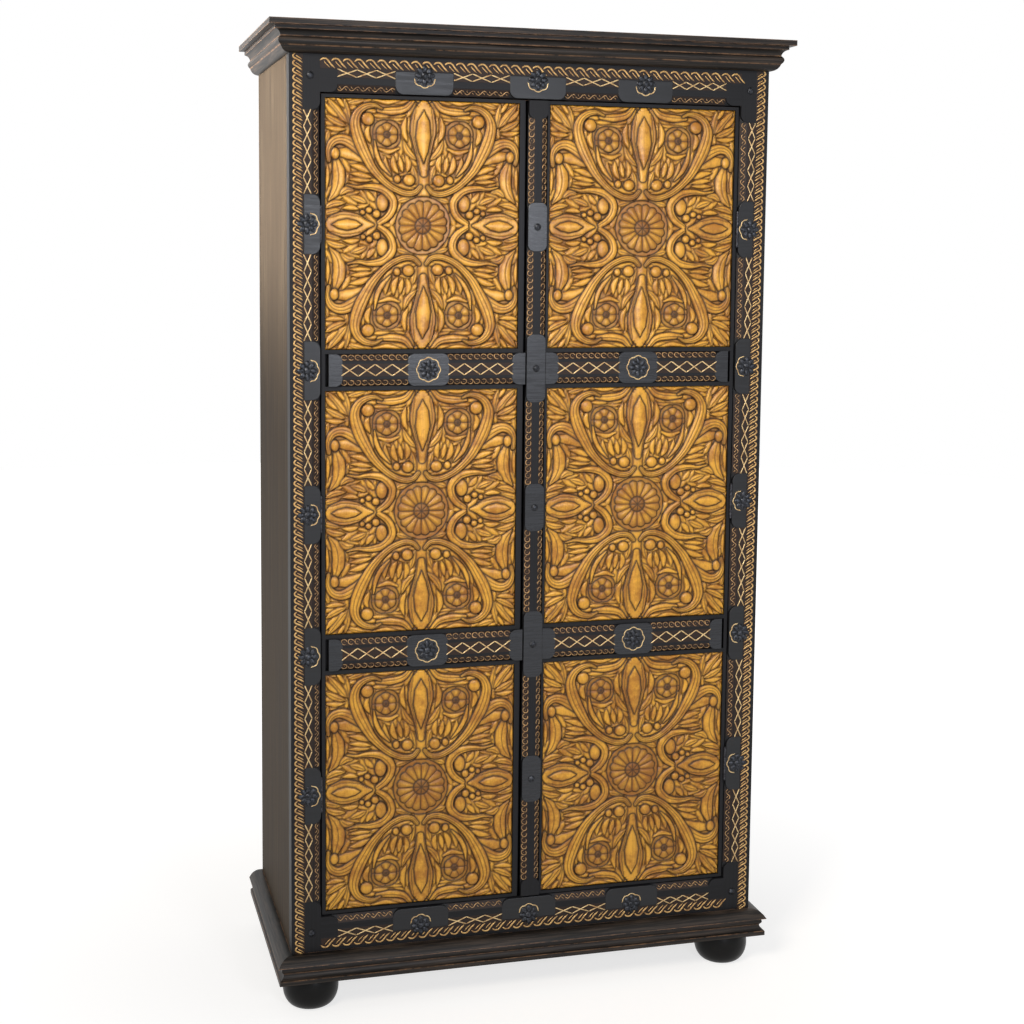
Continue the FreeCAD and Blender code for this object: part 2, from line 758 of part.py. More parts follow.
def door_rail_limits():
    """The heights of a door's four frame rails, from bottom to top."""
    limits = [(Z_DOOR_LOW, PANEL_LOWS[0] + PANEL_SEAT)]
    reach = BAR_LIP + PANEL_SEAT
    limits += [(low - reach, low + BAR_HEIGHT + reach) for low in BAR_LOWS]
    return limits + [(PANEL_LOWS[2] + PANEL_HEIGHT - PANEL_SEAT, Z_DOOR_HIGH)]


def door_tenon_depth(play):
    """The Y limits of a door-frame tenon or, with play, of its mortise."""
    middle = (SEAT_DEPTH + DOOR_BACK_DEPTH) / 2
    half = DOOR_TENON_THICK / 2 + play
    return depth(middle - half, middle + half)


def cut_door_mortises(stile, shoulder, into):
    """A door stile with a mortise for every rail; into is the way from the shoulder into the stile."""
    reach = DOOR_TENON_LENGTH + TENON_END_GAP
    for low, high in door_rail_limits():
        tenon_low, tenon_high = tenon_limits(low, high)
        mortise = block(
            span(shoulder - into * OVERRUN, shoulder + into * reach),
            door_tenon_depth(TENON_PLAY),
            (tenon_low - TENON_PLAY, tenon_high + TENON_PLAY),
        )
        stile = stile.cut(mortise)
    return stile


def door_hinge_stile(side):
    """A door's hinge stile: a seat for the panels behind a narrow lip, with hinge beds in its edge."""
    hinge_edge, outer, _, _ = door_edges(side)
    shoulder = outer - side * PANEL_SEAT
    stile = block(span(hinge_edge, shoulder), depth(SEAT_DEPTH, DOOR_BACK_DEPTH), (Z_DOOR_LOW, Z_DOOR_HIGH))
    lip = block(span(hinge_edge, outer), depth(LIP_DEPTH, DOOR_BACK_DEPTH), (Z_DOOR_LOW, Z_DOOR_HIGH))
    stile = cut_door_mortises(stile.fuse(lip).removeSplitter(), shoulder, side)
    for centre in PANEL_CENTRES:
        stile = stile.cut(hinge_bed(side, centre, hinge_edge, -side))
    return stile


def door_meeting_stile(side):
    """A door's meeting stile, with a lip beside the panels that is notched where the bars run over it.

    The left door's lip stops short of its meeting edge, and the right door's starts behind the meeting strip.
    """
    _, _, inner, meeting = door_edges(side)
    shoulder = inner + side * PANEL_SEAT
    stile = block(span(meeting, shoulder), depth(SEAT_DEPTH, DOOR_BACK_DEPTH), (Z_DOOR_LOW, Z_DOOR_HIGH))
    lip_edge = meeting - MEETING_REBATE if side < 0 else meeting_strip_limits()[1] + FIT_PLAY
    lip_limits = span(lip_edge, inner)
    lip = block(lip_limits, depth(LIP_DEPTH, DOOR_BACK_DEPTH), (Z_DOOR_LOW, Z_DOOR_HIGH))
    across = (lip_limits[0] - OVERRUN, lip_limits[1] + OVERRUN)
    for low in BAR_LOWS:
        lip = lip.cut(block(across, depth(-OVERRUN, SEAT_DEPTH), (low, low + BAR_HEIGHT)))
    return cut_door_mortises(stile.fuse(lip).removeSplitter(), shoulder, -side)


def door_rail(side, index):
    """A rail of a door's frame, tenoned at both ends, with a lip along each carved panel that it meets."""
    _, outer, inner, _ = door_edges(side)
    low, high = door_rail_limits()[index]
    ends = span(outer - side * PANEL_SEAT, inner + side * PANEL_SEAT)
    rail = block(ends, depth(SEAT_DEPTH, DOOR_BACK_DEPTH), (low, high))
    tenon_ends = (ends[0] - DOOR_TENON_LENGTH, ends[1] + DOOR_TENON_LENGTH)
    rail = rail.fuse(block(tenon_ends, door_tenon_depth(0), tenon_limits(low, high)))
    top_index = len(BAR_LOWS) + 1
    if index == 0:
        lips = [(low, low + TOP_LIP)]
    elif index == top_index:
        lips = [(high - TOP_LIP, high)]
    else:
        bar_low = BAR_LOWS[index - 1]
        bar_high = bar_low + BAR_HEIGHT
        lips = [(bar_low - BAR_LIP, bar_low), (bar_high, bar_high + BAR_LIP)]
    for limits in lips:
        rail = rail.fuse(block(span(outer, inner), depth(LIP_DEPTH, SEAT_DEPTH), limits))
    if index == top_index:
        rail = rail.cut(strike(side))
    return rail.removeSplitter()


def leaf_outline(length, width, y):
    """A pointed oval standing on the XZ plane, about the origin."""
    top, bottom = V(0, y, length / 2), V(0, y, -length / 2)
    left, right = V(-width / 2, y, 0), V(width / 2, y, 0)
    return outline_face([arc(bottom, right, top), arc(top, left, bottom)])


def carved_leaf(length, width):
    """A raised pointed leaf with a higher middle, rising from the ground of a carved panel."""
    rise = PANEL_GROUND - PANEL_FRONT
    less = 2 * LEAF_MIDRIB_INSET
    body = leaf_outline(length, width, 0).extrude(V(0, LEAF_STEP - rise, 0))
    rib = leaf_outline(length - less, width - less, 0).extrude(V(0, -rise, 0))
    return body.fuse(rib)


def central_rose():
    """The dished rose in the middle of a carved panel, rising from its ground."""
    rim, dish = ROSE_RIM_DEPTH - PANEL_GROUND, ROSE_DISH_DEPTH - PANEL_GROUND
    crown = PANEL_FRONT - PANEL_GROUND
    middle = (ROSE_RADIUS + ROSE_DISH_RADIUS) / 2
    section = [
        line(V(), V(ROSE_RADIUS, 0, 0)),
        arc(V(ROSE_RADIUS, 0, 0), V(middle, rim, 0), V(ROSE_DISH_RADIUS, dish, 0)),
        line(V(ROSE_DISH_RADIUS, dish, 0), V(ROSE_BUTTON_RADIUS, dish, 0)),
        line(V(ROSE_BUTTON_RADIUS, dish, 0), V(0, crown, 0)),
        line(V(0, crown, 0), V()),
    ]
    return outline_face(section).revolve(V(), V(0, 1, 0), 360)


def knop(centre, radius, crown_radius, height):
    """A round carved knop that narrows to its crown, on a panel's ground."""
    return Part.makeCone(radius, crown_radius, height, centre, V(0, -1, 0))


def scroll_band(centre, radius, first, last):
    """A raised band of a scroll, part of a ring between two angles, rising from a panel's ground."""

    def point(distance, degrees):
        angle = math.radians(degrees)
        return centre + V(distance * math.cos(angle), 0, distance * math.sin(angle))

    outer, inner = radius + SCROLL_WIDTH / 2, radius - SCROLL_WIDTH / 2
    middle = (first + last) / 2
    edges = [
        arc(point(outer, first), point(outer, middle), point(outer, last)),
        line(point(outer, last), point(inner, last)),
        arc(point(inner, last), point(inner, middle), point(inner, first)),
        line(point(inner, first), point(outer, first)),
    ]
    return outline_face(edges).extrude(V(0, ROSE_RIM_DEPTH - PANEL_GROUND, 0))


def panel_scrolls(half_width, half_height):
    """The scrolls in the four quarters of a carved panel, mirrored from the upper right one."""
    unit = min(half_width, SCROLL_UNIT_SHARE * half_height)
    bands = []
    for across, up, radius, first, last in SCROLL_SHARES:
        centre = V(across, 0, up) * unit
        bands.append(scroll_band(centre, radius * unit, first, last))
    for across, up in SCROLL_EYE_SHARES:
        place = V(across, 0, up) * unit
        bands.append(knop(place, SCROLL_EYE_RADIUS, SCROLL_EYE_CROWN_RADIUS, PANEL_GROUND - PANEL_FRONT))
    bands += [mirrored(band) for band in bands]
    bands += [band.mirror(V(), V(0, 0, 1)) for band in bands]
    return bands


def carved_panel(side):
    """A door's carved panel about its own middle: a ground board with the main forms of its carving."""
    _, outer, inner, _ = door_edges(side)
    half_width, half_height = abs(outer - inner) / 2 - FIT_PLAY, PANEL_HEIGHT / 2 - FIT_PLAY
    board = block((-half_width, half_width), (0, SEAT_DEPTH - PANEL_GROUND), (-half_height, half_height))
    raised = [central_rose()] + panel_scrolls(half_width, half_height)
    upright = carved_leaf(LEAF_LENGTH, LEAF_WIDTH)
    lying = carved_leaf(SIDE_LEAF_LENGTH, LEAF_WIDTH)
    lying.rotate(V(), V(0, 1, 0), 90)
    up = half_height - LEAF_EDGE_GAP - LEAF_LENGTH / 2
    across = half_width - LEAF_EDGE_GAP - SIDE_LEAF_LENGTH / 2
    for way in (-1, 1):
        raised.append(upright.translated(V(0, 0, way * up)))
        raised.append(lying.translated(V(way * across, 0, 0)))
        for rise in (-1, 1):
            place = V(way * half_width * BUD_ACROSS_SHARE, 0, rise * half_height * BUD_UP_SHARE)
            raised.append(knop(place, BUD_RADIUS, BUD_CROWN_RADIUS, PANEL_GROUND - ROSE_RIM_DEPTH))
    return board.fuse(raised).removeSplitter()


def bar_limits(side):
    """The X limits of a door's bars."""
    _, outer, _, meeting = door_edges(side)
    strip_edge = meeting_strip_limits()[1]
    return span(outer - side * BAR_RECESS, meeting if side < 0 else strip_edge + FIT_PLAY)


def door_bar(side, row):
    """A chamfered bar across the front of a door, between two carved panels."""
    limits = bar_limits(side)
    low = BAR_LOWS[row]
    bar = block(limits, depth(BAR_FRONT, SEAT_DEPTH), (low, low + BAR_HEIGHT))
    stops = [(sum(limits) / 2, BAR_CARTOUCHE_HALF)]
    face, along = Y_FACE + BAR_FRONT, V(1, 0, 0)
    for first, last in between(stops, limits[0] + BAR_END_PLAIN, limits[1] - BAR_END_PLAIN):
        for height, inward in ((low, V(0, 0, 1)), (low + BAR_HEIGHT, V(0, 0, -1))):
            edge = V(0, 0, height)
            tool = chamfer_tool(along, first, last, edge, inward, face, BAR_CHAMFER_WIDTH, CHAMFER_DEPTH)
            bar = bar.cut(tool)
    return bar


def meeting_strip_limits():
    """The X limits of the strip on the right door's meeting edge."""
    meeting = door_edges(1)[3]
    return (meeting, meeting + STRIP_WIDTH)


def meeting_strip():
    """The chamfered strip down the meeting edge of the right door."""
    limits = meeting_strip_limits()
    strip = block(limits, depth(BAR_FRONT, SEAT_DEPTH), (Z_DOOR_LOW, Z_DOOR_HIGH))
    stops = [(centre, STRIP_CARTOUCHE_HALF) for centre in PANEL_CENTRES]
    stops += [(centre, STRIP_CROSSING_HALF) for centre in BAR_CENTRES]
    face, along = Y_FACE + BAR_FRONT, V(0, 0, 1)
    for low, high in between(stops, Z_DOOR_LOW + STRIP_END_PLAIN, Z_DOOR_HIGH - STRIP_END_PLAIN):
        for across, inward in ((limits[0], V(1, 0, 0)), (limits[1], V(-1, 0, 0))):
            edge = V(across, 0, 0)
            tool = chamfer_tool(along, low, high, edge, inward, face, STRIP_CHAMFER_WIDTH, CHAMFER_DEPTH)
            strip = strip.cut(tool)
    return strip


def door_studs(side):
    """Rosettes on a door's bars and, on the right door, plain studs down the meeting strip."""
    face = Y_FACE + BAR_FRONT
    heads = [rosette(V(sum(bar_limits(side)) / 2, face, centre)) for centre in BAR_CENTRES]
    if side > 0:
        middle = sum(meeting_strip_limits()) / 2
        for centre in PANEL_CENTRES + BAR_CENTRES:
            heads.append(dome(V(middle, face, centre), STUD_RADIUS, STUD_HEIGHT))
    return Part.makeCompound(heads)


def door_hinge_leaves(side):
    """The leaves of one door's hinges that are fixed to the door."""
    hinge_edge = door_edges(side)[0]
    return Part.makeCompound([hinge_leaf(side, centre, hinge_edge, -side, 1) for centre in PANEL_CENTRES])


def door_nodes(side, name):
    """All pieces of one door, by node name."""
    nodes = {
        f"{name}_hinge_stile": door_hinge_stile(side),
        f"{name}_meeting_stile": door_meeting_stile(side),
        f"{name}_studs": door_studs(side),
        f"{name}_hinge_leaves": door_hinge_leaves(side),
        f"{name}_strike": strike(side),
    }
    for index, place in enumerate(("bottom", "lower", "upper", "top")):
        nodes[f"{name}_{place}_rail"] = door_rail(side, index)
    panel, middle = carved_panel(side), panel_middle(side)
    for place, centre in zip(("bottom", "middle", "top"), PANEL_CENTRES):
        nodes[f"{name}_{place}_panel"] = panel.translated(V(middle, Y_FACE + PANEL_GROUND, centre))
    for row, place in enumerate(("lower", "upper")):
        nodes[f"{name}_{place}_bar"] = door_bar(side, row)
    return nodes


def carcass_nodes():
    """All pieces that stay still, by node name."""
    left_side, left_stile = left_side_board(), left_frame_stile()
    cornice = mitred_mouldings(cornice_section(), CORNICE_REACH, Z_FACE_HIGH)
    base = mitred_mouldings(base_section(), BASE_REACH, Z_BASE)
    cornice_front, cornice_left, cornice_right = cornice
    base_front, base_left, base_right = base
    bottom_limits, top_limits = frame_rail_limits()
    nodes = {
        "left_side": left_side,
        "right_side": mirrored(left_side),
        "back_boards": back_boards(),
        "floor_board": floor_board(),
        "top_board": top_board(),
        "shelf_cleats": shelf_cleats(),
        "frame_left_stile": left_stile,
        "frame_right_stile": mirrored(left_stile),
        "frame_bottom_rail": frame_rail(*bottom_limits, Z_OPEN_LOW, V(0, 0, -1)),
        "frame_top_rail": frame_rail(*top_limits, Z_OPEN_HIGH, V(0, 0, 1)),
        "cornice_front": cornice_front,
        "cornice_left": cornice_left,
        "cornice_right": cornice_right,
        "base_front": base_front,
        "base_left": base_left,
        "base_right": base_right,
        "base_back_rail": base_back_rail(),
        "foot_blocks": foot_blocks(),
        "frame_studs": frame_studs(),
        "frame_hinge_leaves": frame_hinge_leaves(),
        "hinge_pins": hinge_pins(),
        "door_stop": door_stop(),
        "catch_magnets": catch_magnets(),
    }
    for place, top in zip(("lower", "middle", "upper"), shelf_heights()):
        nodes[f"{place}_shelf"] = shelf(top)
    for name, (x, y) in foot_places().items():
        nodes[name] = foot().translated(V(x, y, 0))
    return nodes


def main():
    """Builds every piece and writes one STEP file for each."""
    os.makedirs("parts", exist_ok=True)
    nodes = carcass_nodes()
    nodes.update(door_nodes(-1, "left_door"))
    nodes.update(door_nodes(1, "right_door"))
    nodes["right_door_meeting_strip"] = meeting_strip()
    for name, shape in nodes.items():
        shape.exportStep(os.path.join("parts", f"{name}.step"))
        volume = sum(solid.Volume for solid in shape.Solids)
        print(f"{name}: {len(shape.Solids)} solids, {volume / 1000:.1f} cm3, valid {shape.isValid()}")
    print(f"{len(nodes)} nodes")


main()
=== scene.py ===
"""Looks of a tall two-door cupboard with carved golden panels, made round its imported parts."""

import logging
import math
from dataclasses import dataclass, field
from enum import Enum
from typing import Any, Iterable, Sequence

import bmesh
import bpy
import numpy as np
from bmesh.types import BMesh, BMVert
from bpy.types import Material, Mesh, Node, NodeSocket, NodeTree, Object
from mathutils import Euler, Matrix, Vector


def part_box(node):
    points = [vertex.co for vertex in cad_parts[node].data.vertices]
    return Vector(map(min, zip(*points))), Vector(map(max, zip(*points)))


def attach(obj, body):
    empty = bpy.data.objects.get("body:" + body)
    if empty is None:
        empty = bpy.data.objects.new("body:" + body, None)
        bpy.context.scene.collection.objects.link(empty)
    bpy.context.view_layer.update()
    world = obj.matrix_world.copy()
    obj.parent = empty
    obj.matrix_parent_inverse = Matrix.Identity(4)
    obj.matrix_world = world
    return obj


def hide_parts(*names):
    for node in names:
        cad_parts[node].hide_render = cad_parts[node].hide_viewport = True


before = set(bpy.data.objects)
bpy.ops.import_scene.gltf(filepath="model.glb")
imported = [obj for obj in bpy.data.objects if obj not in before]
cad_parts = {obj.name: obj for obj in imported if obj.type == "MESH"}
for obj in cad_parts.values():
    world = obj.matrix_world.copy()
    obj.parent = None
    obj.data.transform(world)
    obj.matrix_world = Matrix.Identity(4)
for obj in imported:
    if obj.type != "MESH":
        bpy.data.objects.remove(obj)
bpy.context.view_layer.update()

log = logging.getLogger("cupboard")

Point = tuple[float, float]
Place = tuple[float, float, float]
MM = 0.001
PHOTO_SIDE = 1024
SEED = 11
ALL_SMOOTH = 180.0


class Body(Enum):
    """The rigid bodies that pieces ride on."""

    CARCASS = "carcass"
    LEFT_DOOR = "left_door"
    RIGHT_DOOR = "right_door"


DOORS = (Body.LEFT_DOOR, Body.RIGHT_DOOR)


class Grain(Enum):
    """The way the grain of a board runs, as the axis it follows."""

    ACROSS = 0
    DEEP = 1
    UP = 2


class Edge(Enum):
    """The edge of the front that a member runs along, with the turn in degrees of a motif there."""

    TOP = 0.0
    RIGHT = 90.0
    BOTTOM = 180.0
    LEFT = -90.0


# Small helpers


def linear(code: str) -> tuple[float, float, float, float]:
    """Turns an sRGB colour to linear light.

    Args:
        code: six hex digits after a hash.

    Returns:
        Red, green, blue and full cover.
    """
    parts = [int(code[place:place + 2], 16) / 255 for place in (1, 3, 5)]
    light = [part / 12.92 if part <= 0.04045 else ((part + 0.055) / 1.055) ** 2.4 for part in parts]
    return light[0], light[1], light[2], 1.0


def feed(tree: NodeTree, node: Node, inputs: dict[Any, Any]) -> None:
    """Gives a node's inputs their values and links.

    Args:
        tree: the tree that holds the node.
        node: the node.
        inputs: by name or place, a value, an output, or a node whose first output in use is taken.
    """
    for key, value in inputs.items():
        if isinstance(value, Node):
            value = next(output for output in value.outputs if output.enabled)
        if isinstance(value, NodeSocket):
            tree.links.new(value, node.inputs[key])
        else:
            node.inputs[key].default_value = value


def add_node(tree: NodeTree, kind: str, inputs: dict[Any, Any] | None = None, **settings: Any) -> Node:
    """Adds one node to a tree, with its settings and links.

    Args:
        tree: the shader or geometry tree.
        kind: the node's type.
        inputs: what its inputs are fed.
        settings: the node's own properties.

    Returns:
        The new node.
    """
    node = tree.nodes.new(kind)
    for name, value in settings.items():
        setattr(node, name, value)
    feed(tree, node, inputs or {})
    return node


def new_material(name: str) -> tuple[Material, NodeTree, Node, NodeSocket]:
    """Starts a material.

    Args:
        name: what the real material is called.

    Returns:
        The material, its tree, its surface shader and the place on the object.
    """
    material = bpy.data.materials.new(name)
    material.use_nodes = True
    tree = material.node_tree
    place = add_node(tree, "ShaderNodeTexCoord").outputs["Object"]
    return material, tree, tree.nodes["Principled BSDF"], place


def put(name: str, data: Any) -> Object:
    """Puts a mesh, a lamp or a camera in the scene.

    Args:
        name: the object's name.
        data: what it shows.

    Returns:
        The new object.
    """
    holder = bpy.data.objects.new(name, data)
    bpy.context.scene.collection.objects.link(holder)
    return holder


def new_piece(name: str, mesh: Mesh, body: Body, replaced: Sequence[str] = ()) -> None:
    """Puts a finished mesh in the scene as a piece of the cupboard.

    Args:
        name: the piece's name.
        mesh: its mesh, already in place.
        body: the body it rides on.
        replaced: the nodes that it stands for.
    """
    mesh.name = name
    piece = put(name, mesh)
    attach(piece, body.value)
    if replaced:
        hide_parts(*replaced)
    log.info("%s: %d faces on %s", name, len(mesh.polygons), body.value)


def joined(name: str, meshes: Iterable[Mesh]) -> Mesh:
    """Joins meshes of one finish into one and frees them.

    Args:
        name: the new mesh's name.
        meshes: the meshes, each with the same last material.

    Returns:
        The joined mesh.
    """
    whole = bmesh.new()
    finish = None
    for mesh in meshes:
        finish = mesh.materials[-1]
        whole.from_mesh(mesh)
        bpy.data.meshes.remove(mesh)
    for face in whole.faces:
        face.material_index = 0
    result = bpy.data.meshes.new(name)
    whole.to_mesh(result)
    whole.free()
    result.materials.append(finish)
    return result


def skin(shape: BMesh, rings: Sequence[Sequence[Any]], closed: bool = False) -> list[list[BMVert]]:
    """Joins rings of places by walls, and caps the first and the last unless they meet.

    Args:
        shape: the shape that gets the walls.
        rings: the places of each ring in metres, as many in each.
        closed: whether the last ring joins the first.

    Returns:
        The new points, ring by ring.
    """
    rows = [[shape.verts.new(place) for place in ring] for ring in rings]
    for lower, upper in zip(rows, rows[1:] + rows[:1] if closed else rows[1:]):
        for number, corner in enumerate(lower):
            after = (number + 1) % len(lower)
            shape.faces.new((corner, lower[after], upper[after], upper[number]))
    if not closed:
        shape.faces.new(rows[0][::-1])
        shape.faces.new(rows[-1])
    return rows


def as_mesh(shape: BMesh, name: str, finish: Material | None = None, smooth_to: float = 0.0) -> Mesh:
    """Turns a shape's faces outwards and makes it a mesh.

    Args:
        shape: the shape, which is freed.
        name: the mesh's name.
        finish: its material.
        smooth_to: the angle in degrees that its edges are smooth up to.

    Returns:
        The mesh.
    """
    bmesh.ops.recalc_face_normals(shape, faces=shape.faces)
    mesh = bpy.data.meshes.new(name)
    shape.to_mesh(mesh)
    shape.free()
    if finish:
        mesh.materials.append(finish)
    if smooth_to:
        mesh.shade_smooth()
    if 0 < smooth_to < ALL_SMOOTH:
        mesh.set_sharp_from_angle(angle=math.radians(smooth_to))
    return mesh


def box_middle(node: str) -> Vector:
    """The middle of a node's box."""
    low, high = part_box(node)
    return (low + high) / 2


def front_middle(node: str) -> Vector:
    """The middle of a node's front face."""
    spot = box_middle(node)
    return Vector((spot.x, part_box(node)[0].y, spot.z))


def smooth_curve(points: Sequence[Point], steps: int) -> np.ndarray:
    """Draws a smooth curve through given points.

    Args:
        points: the places that it passes through.
        steps: how many spans lie between two of them.

    Returns:
        An array of places along the curve.
    """
    fixed = np.array(points, float)
    padded = np.vstack([2 * fixed[0] - fixed[1], fixed, 2 * fixed[-1] - fixed[-2]])
    part = np.arange(steps)[:, None] / steps
    runs = []
    for before, here, there, after in zip(padded, padded[1:], padded[2:], padded[3:]):
        straight = there - before
        bend = 2 * before - 5 * here + 4 * there - after
        twist = 3 * here - before - 3 * there + after
        runs.append(here + 0.5 * (straight * part + bend * part ** 2 + twist * part ** 3))
    return np.vstack([*runs, fixed[-1:]])


# Finishes


@dataclass(frozen=True)
class Layer:
    """A colour laid on where a noise shows, or an attribute of the mesh, or both.

    The noise has a size in millimetres along each axis and shows between two of its values, up to a share.
    Bump is the strength and the height in millimetres of the grain that it raises. Dull is the two values of
    the pattern that the roughness runs between, and then the roughness at each.
    """

    colour: str
    size_mm: tuple[float, ...] = ()
    shown: Point = (0.0, 1.0)
    share: float = 1.0
    detail: float = 2.0
    roughness: float = 0.5
    distortion: float = 0.0
    attribute: str = ""
    bump: tuple[float, ...] = ()
    dull: tuple[float, ...] = ()


def layered(name: str, ground: str, layers: Sequence[Layer], surface: dict[str, float]) -> Material:
    """Makes a material of colours laid over each other.

    Args:
        name: what the real material is called.
        ground: the lowest colour.
        layers: the colours over it, in order.
        surface: values for other inputs of the surface shader.

    Returns:
        The material.
    """
    material, tree, shader, place = new_material(name)
    colour = linear(ground)
    for layer in layers:
        if layer.attribute:
            worn = add_node(tree, "ShaderNodeAttribute", attribute_name=layer.attribute).outputs["Fac"]
            pattern = share = worn
        if layer.size_mm:
            scale = [1 / (size * MM) for size in layer.size_mm]
            spread = add_node(tree, "ShaderNodeMapping", {"Vector": place, "Scale": scale})
            pattern = add_node(tree, "ShaderNodeTexNoise", {
                "Vector": spread, "Scale": 1.0, "Detail": layer.detail, "Roughness": layer.roughness,
                "Distortion": layer.distortion})
            low, high = layer.shown
            share = add_node(tree, "ShaderNodeMapRange", {
                "Value": pattern, "From Min": low, "From Max": high, "To Max": layer.share})
        if layer.size_mm and layer.attribute:
            share = add_node(tree, "ShaderNodeMath", {0: share, 1: worn}, operation="MULTIPLY")
        colour = add_node(tree, "ShaderNodeMix", {
            "Factor": share, 6: colour, 7: linear(layer.colour)}, data_type="RGBA")
        if layer.bump:
            strength, height = layer.bump
            feed(tree, shader, {"Normal": add_node(tree, "ShaderNodeBump", {
                "Height": pattern, "Strength": strength, "Distance": height * MM})})
        if layer.dull:
            names = ("From Min", "From Max", "To Min", "To Max")
            feed(tree, shader, {"Roughness": add_node(tree, "ShaderNodeMapRange", {
                "Value": pattern, **dict(zip(names, layer.dull))})})
    feed(tree, shader, {"Base Color": colour, **surface})
    return material


@dataclass(frozen=True)
class StainedWood:
    """Planed boards under stain and wax: streaks and pores along the grain, cloudy patches, satin shine."""

    name: str
    ground: str
    streak: str
    patch: str
    grain: Grain
    # Streaks are drawn some millimetres wide, coarser than real pores, so that they show
    streak_mm: float = 4.0
    length_mm: float = 240.0
    patch_mm: float = 170.0
    streak_share: float = 0.5
    patch_share: float = 0.4
    roughness: float = 0.42
    gloss: float = 0.3
    relief_mm: float = 0.25

    def build(self) -> Material:
        """Makes the material.

        Returns:
            The material.
        """
        size = [self.streak_mm] * 3
        size[self.grain.value] = self.length_mm
        fibres = Layer(
            self.streak, tuple(size), shown=(0.42, 0.72), share=self.streak_share, detail=6.0, roughness=0.7,
            distortion=0.3, bump=(0.6, self.relief_mm),
            dull=(0.3, 0.75, self.roughness - 0.08, self.roughness + 0.12))
        clouds = Layer(self.patch, (self.patch_mm,) * 3, shown=(0.4, 0.7), share=self.patch_share, detail=3.0)
        return layered(self.name, self.ground, (fibres, clouds), {"Specular IOR Level": self.gloss})


@dataclass(frozen=True)
class RubbedWoodWithPaintedHighlight:
    """Black-stained moulding with a brown line along its arrises that breaks the dark, patchy along its
    length: partly wood rubbed through, partly painted highlight.
    """

    name: str = "black stained moulding, rubbed edges"
    ground: str = "#0f0c0a"
    streak: str = "#564a41"
    # The pale brown of the arris lines: partly wood rubbed through, partly painted highlight.
    bare: str = "#86664c"
    streak_mm: float = 3.0
    length_mm: float = 160.0
    arris_patch_mm: float = 24.0
    roughness: float = 0.45
    gloss: float = 0.25

    def build(self) -> Material:
        """Makes the material, which reads the arris attribute of the moulding.

        Returns:
            The material.
        """
        size = (self.length_mm, self.length_mm, self.streak_mm)
        fibres = Layer(
            self.streak, size, shown=(0.45, 0.75), share=0.7, detail=6.0, roughness=0.7, bump=(0.5, 0.3))
        # Pale lines along the arrises: partly rubbed wear, partly painted highlight.
        rubbed = Layer(
            self.bare, (self.arris_patch_mm,) * 3, shown=(0.36, 0.6), detail=4.0, roughness=0.65, attribute="arris")
        surface = {"Roughness": self.roughness, "Specular IOR Level": self.gloss}
        return layered(self.name, self.ground, (fibres, rubbed), surface)


@dataclass(frozen=True)
class CarvedGold:
    """Carved hardwood under golden stain: every cut dark with brown glazing and painted shade, pale crowns of
    rubbed wear and painted highlight, fine grain.
    """

    name: str = "carved wood, golden stain and glaze"
    hollow: str = "#7e490a"
    # The colour toward each form's crown: partly rubbed wear, partly painted highlight.
    crown: str = "#e2a636"
    tan: str = "#985a10"
    # The colour in every cut: partly brown glazing, partly painted shade.
    glaze: str = "#100703"
    fibre_mm: float = 1.6
    length_mm: float = 36.0
    patch_mm: float = 42.0
    metallic: float = 0.05

    def build(self) -> Material:
        """Makes the material, which reads the carving's two attributes: glazing with painted shade in the
        cuts, rubbed wear with painted highlight on the crowns.

        Returns:
            The material.
        """
        size = (self.fibre_mm, self.fibre_mm, self.length_mm)
        layers = (
            # Paler toward each form's crown: rubbed wear and painted highlight.
            Layer(self.crown, attribute="crown"),
            Layer(self.tan, (self.patch_mm,) * 3, shown=(0.42, 0.62), share=0.75, detail=5.0, roughness=0.72),
            Layer(self.hollow, size, shown=(0.5, 0.75), share=0.35, detail=4.0, bump=(0.5, 0.3)),
            # Dark in every cut: brown glazing and painted shade.
            Layer(self.glaze, attribute="glaze", dull=(0.0, 1.0, 0.34, 0.7)))
        return layered(self.name, self.hollow, layers, {"Metallic": self.metallic})


@dataclass(frozen=True)
class RubbedGilt:
    """Gold paint rubbed thin on carved ridges: bright gold runs into brown wood within a hand's width."""

    name: str
    bright: str = "#dcc08c"
    thin: str = "#8a5a26"
    patch_mm: float = 14.0
    thin_share: float = 0.8
    metallic: float = 0.25
    roughness: float = 0.42

    def build(self) -> Material:
        """Makes the material.

        Returns:
            The material.
        """
        worn = Layer(
            self.thin, (self.patch_mm,) * 3, shown=(0.42, 0.66), share=self.thin_share, detail=5.0,
            roughness=0.65, bump=(0.4, 0.4))
        surface = {"Metallic": self.metallic, "Roughness": self.roughness}
        return layered(self.name, self.bright, (worn,), surface)


@dataclass(frozen=True)
class DarkMetal:
    """Forged or rolled metal under black oxide: soft mottling, a dull shine, a bright spot on each dome."""

    name: str
    oxide: str
    bare: str
    mottle_mm: float = 5.0
    metallic: float = 0.8
    roughness: float = 0.36

    def build(self) -> Material:
        """Makes the material.

        Returns:
            The material.
        """
        mottle = Layer(
            self.bare, (self.mottle_mm,) * 3, shown=(0.4, 0.75), detail=4.0, bump=(0.3, 0.08),
            dull=(0.0, 1.0, self.roughness - 0.1, self.roughness + 0.15))
        return layered(self.name, self.oxide, (mottle,), {"Metallic": self.metallic})


@dataclass(frozen=True)
class MouldedPlastic:
    """Brown moulded plastic with the faint grain of its tool."""

    name: str = "brown moulded plastic"
    colour: str = "#3a322c"
    paler: str = "#463d36"
    grain_mm: float = 0.8
    roughness: float = 0.55

    def build(self) -> Material:
        """Makes the material."""
        grain = Layer(self.paler, (self.grain_mm,) * 3, bump=(0.3, 0.1))
        return layered(self.name, self.colour, (grain,), {"Roughness": self.roughness})


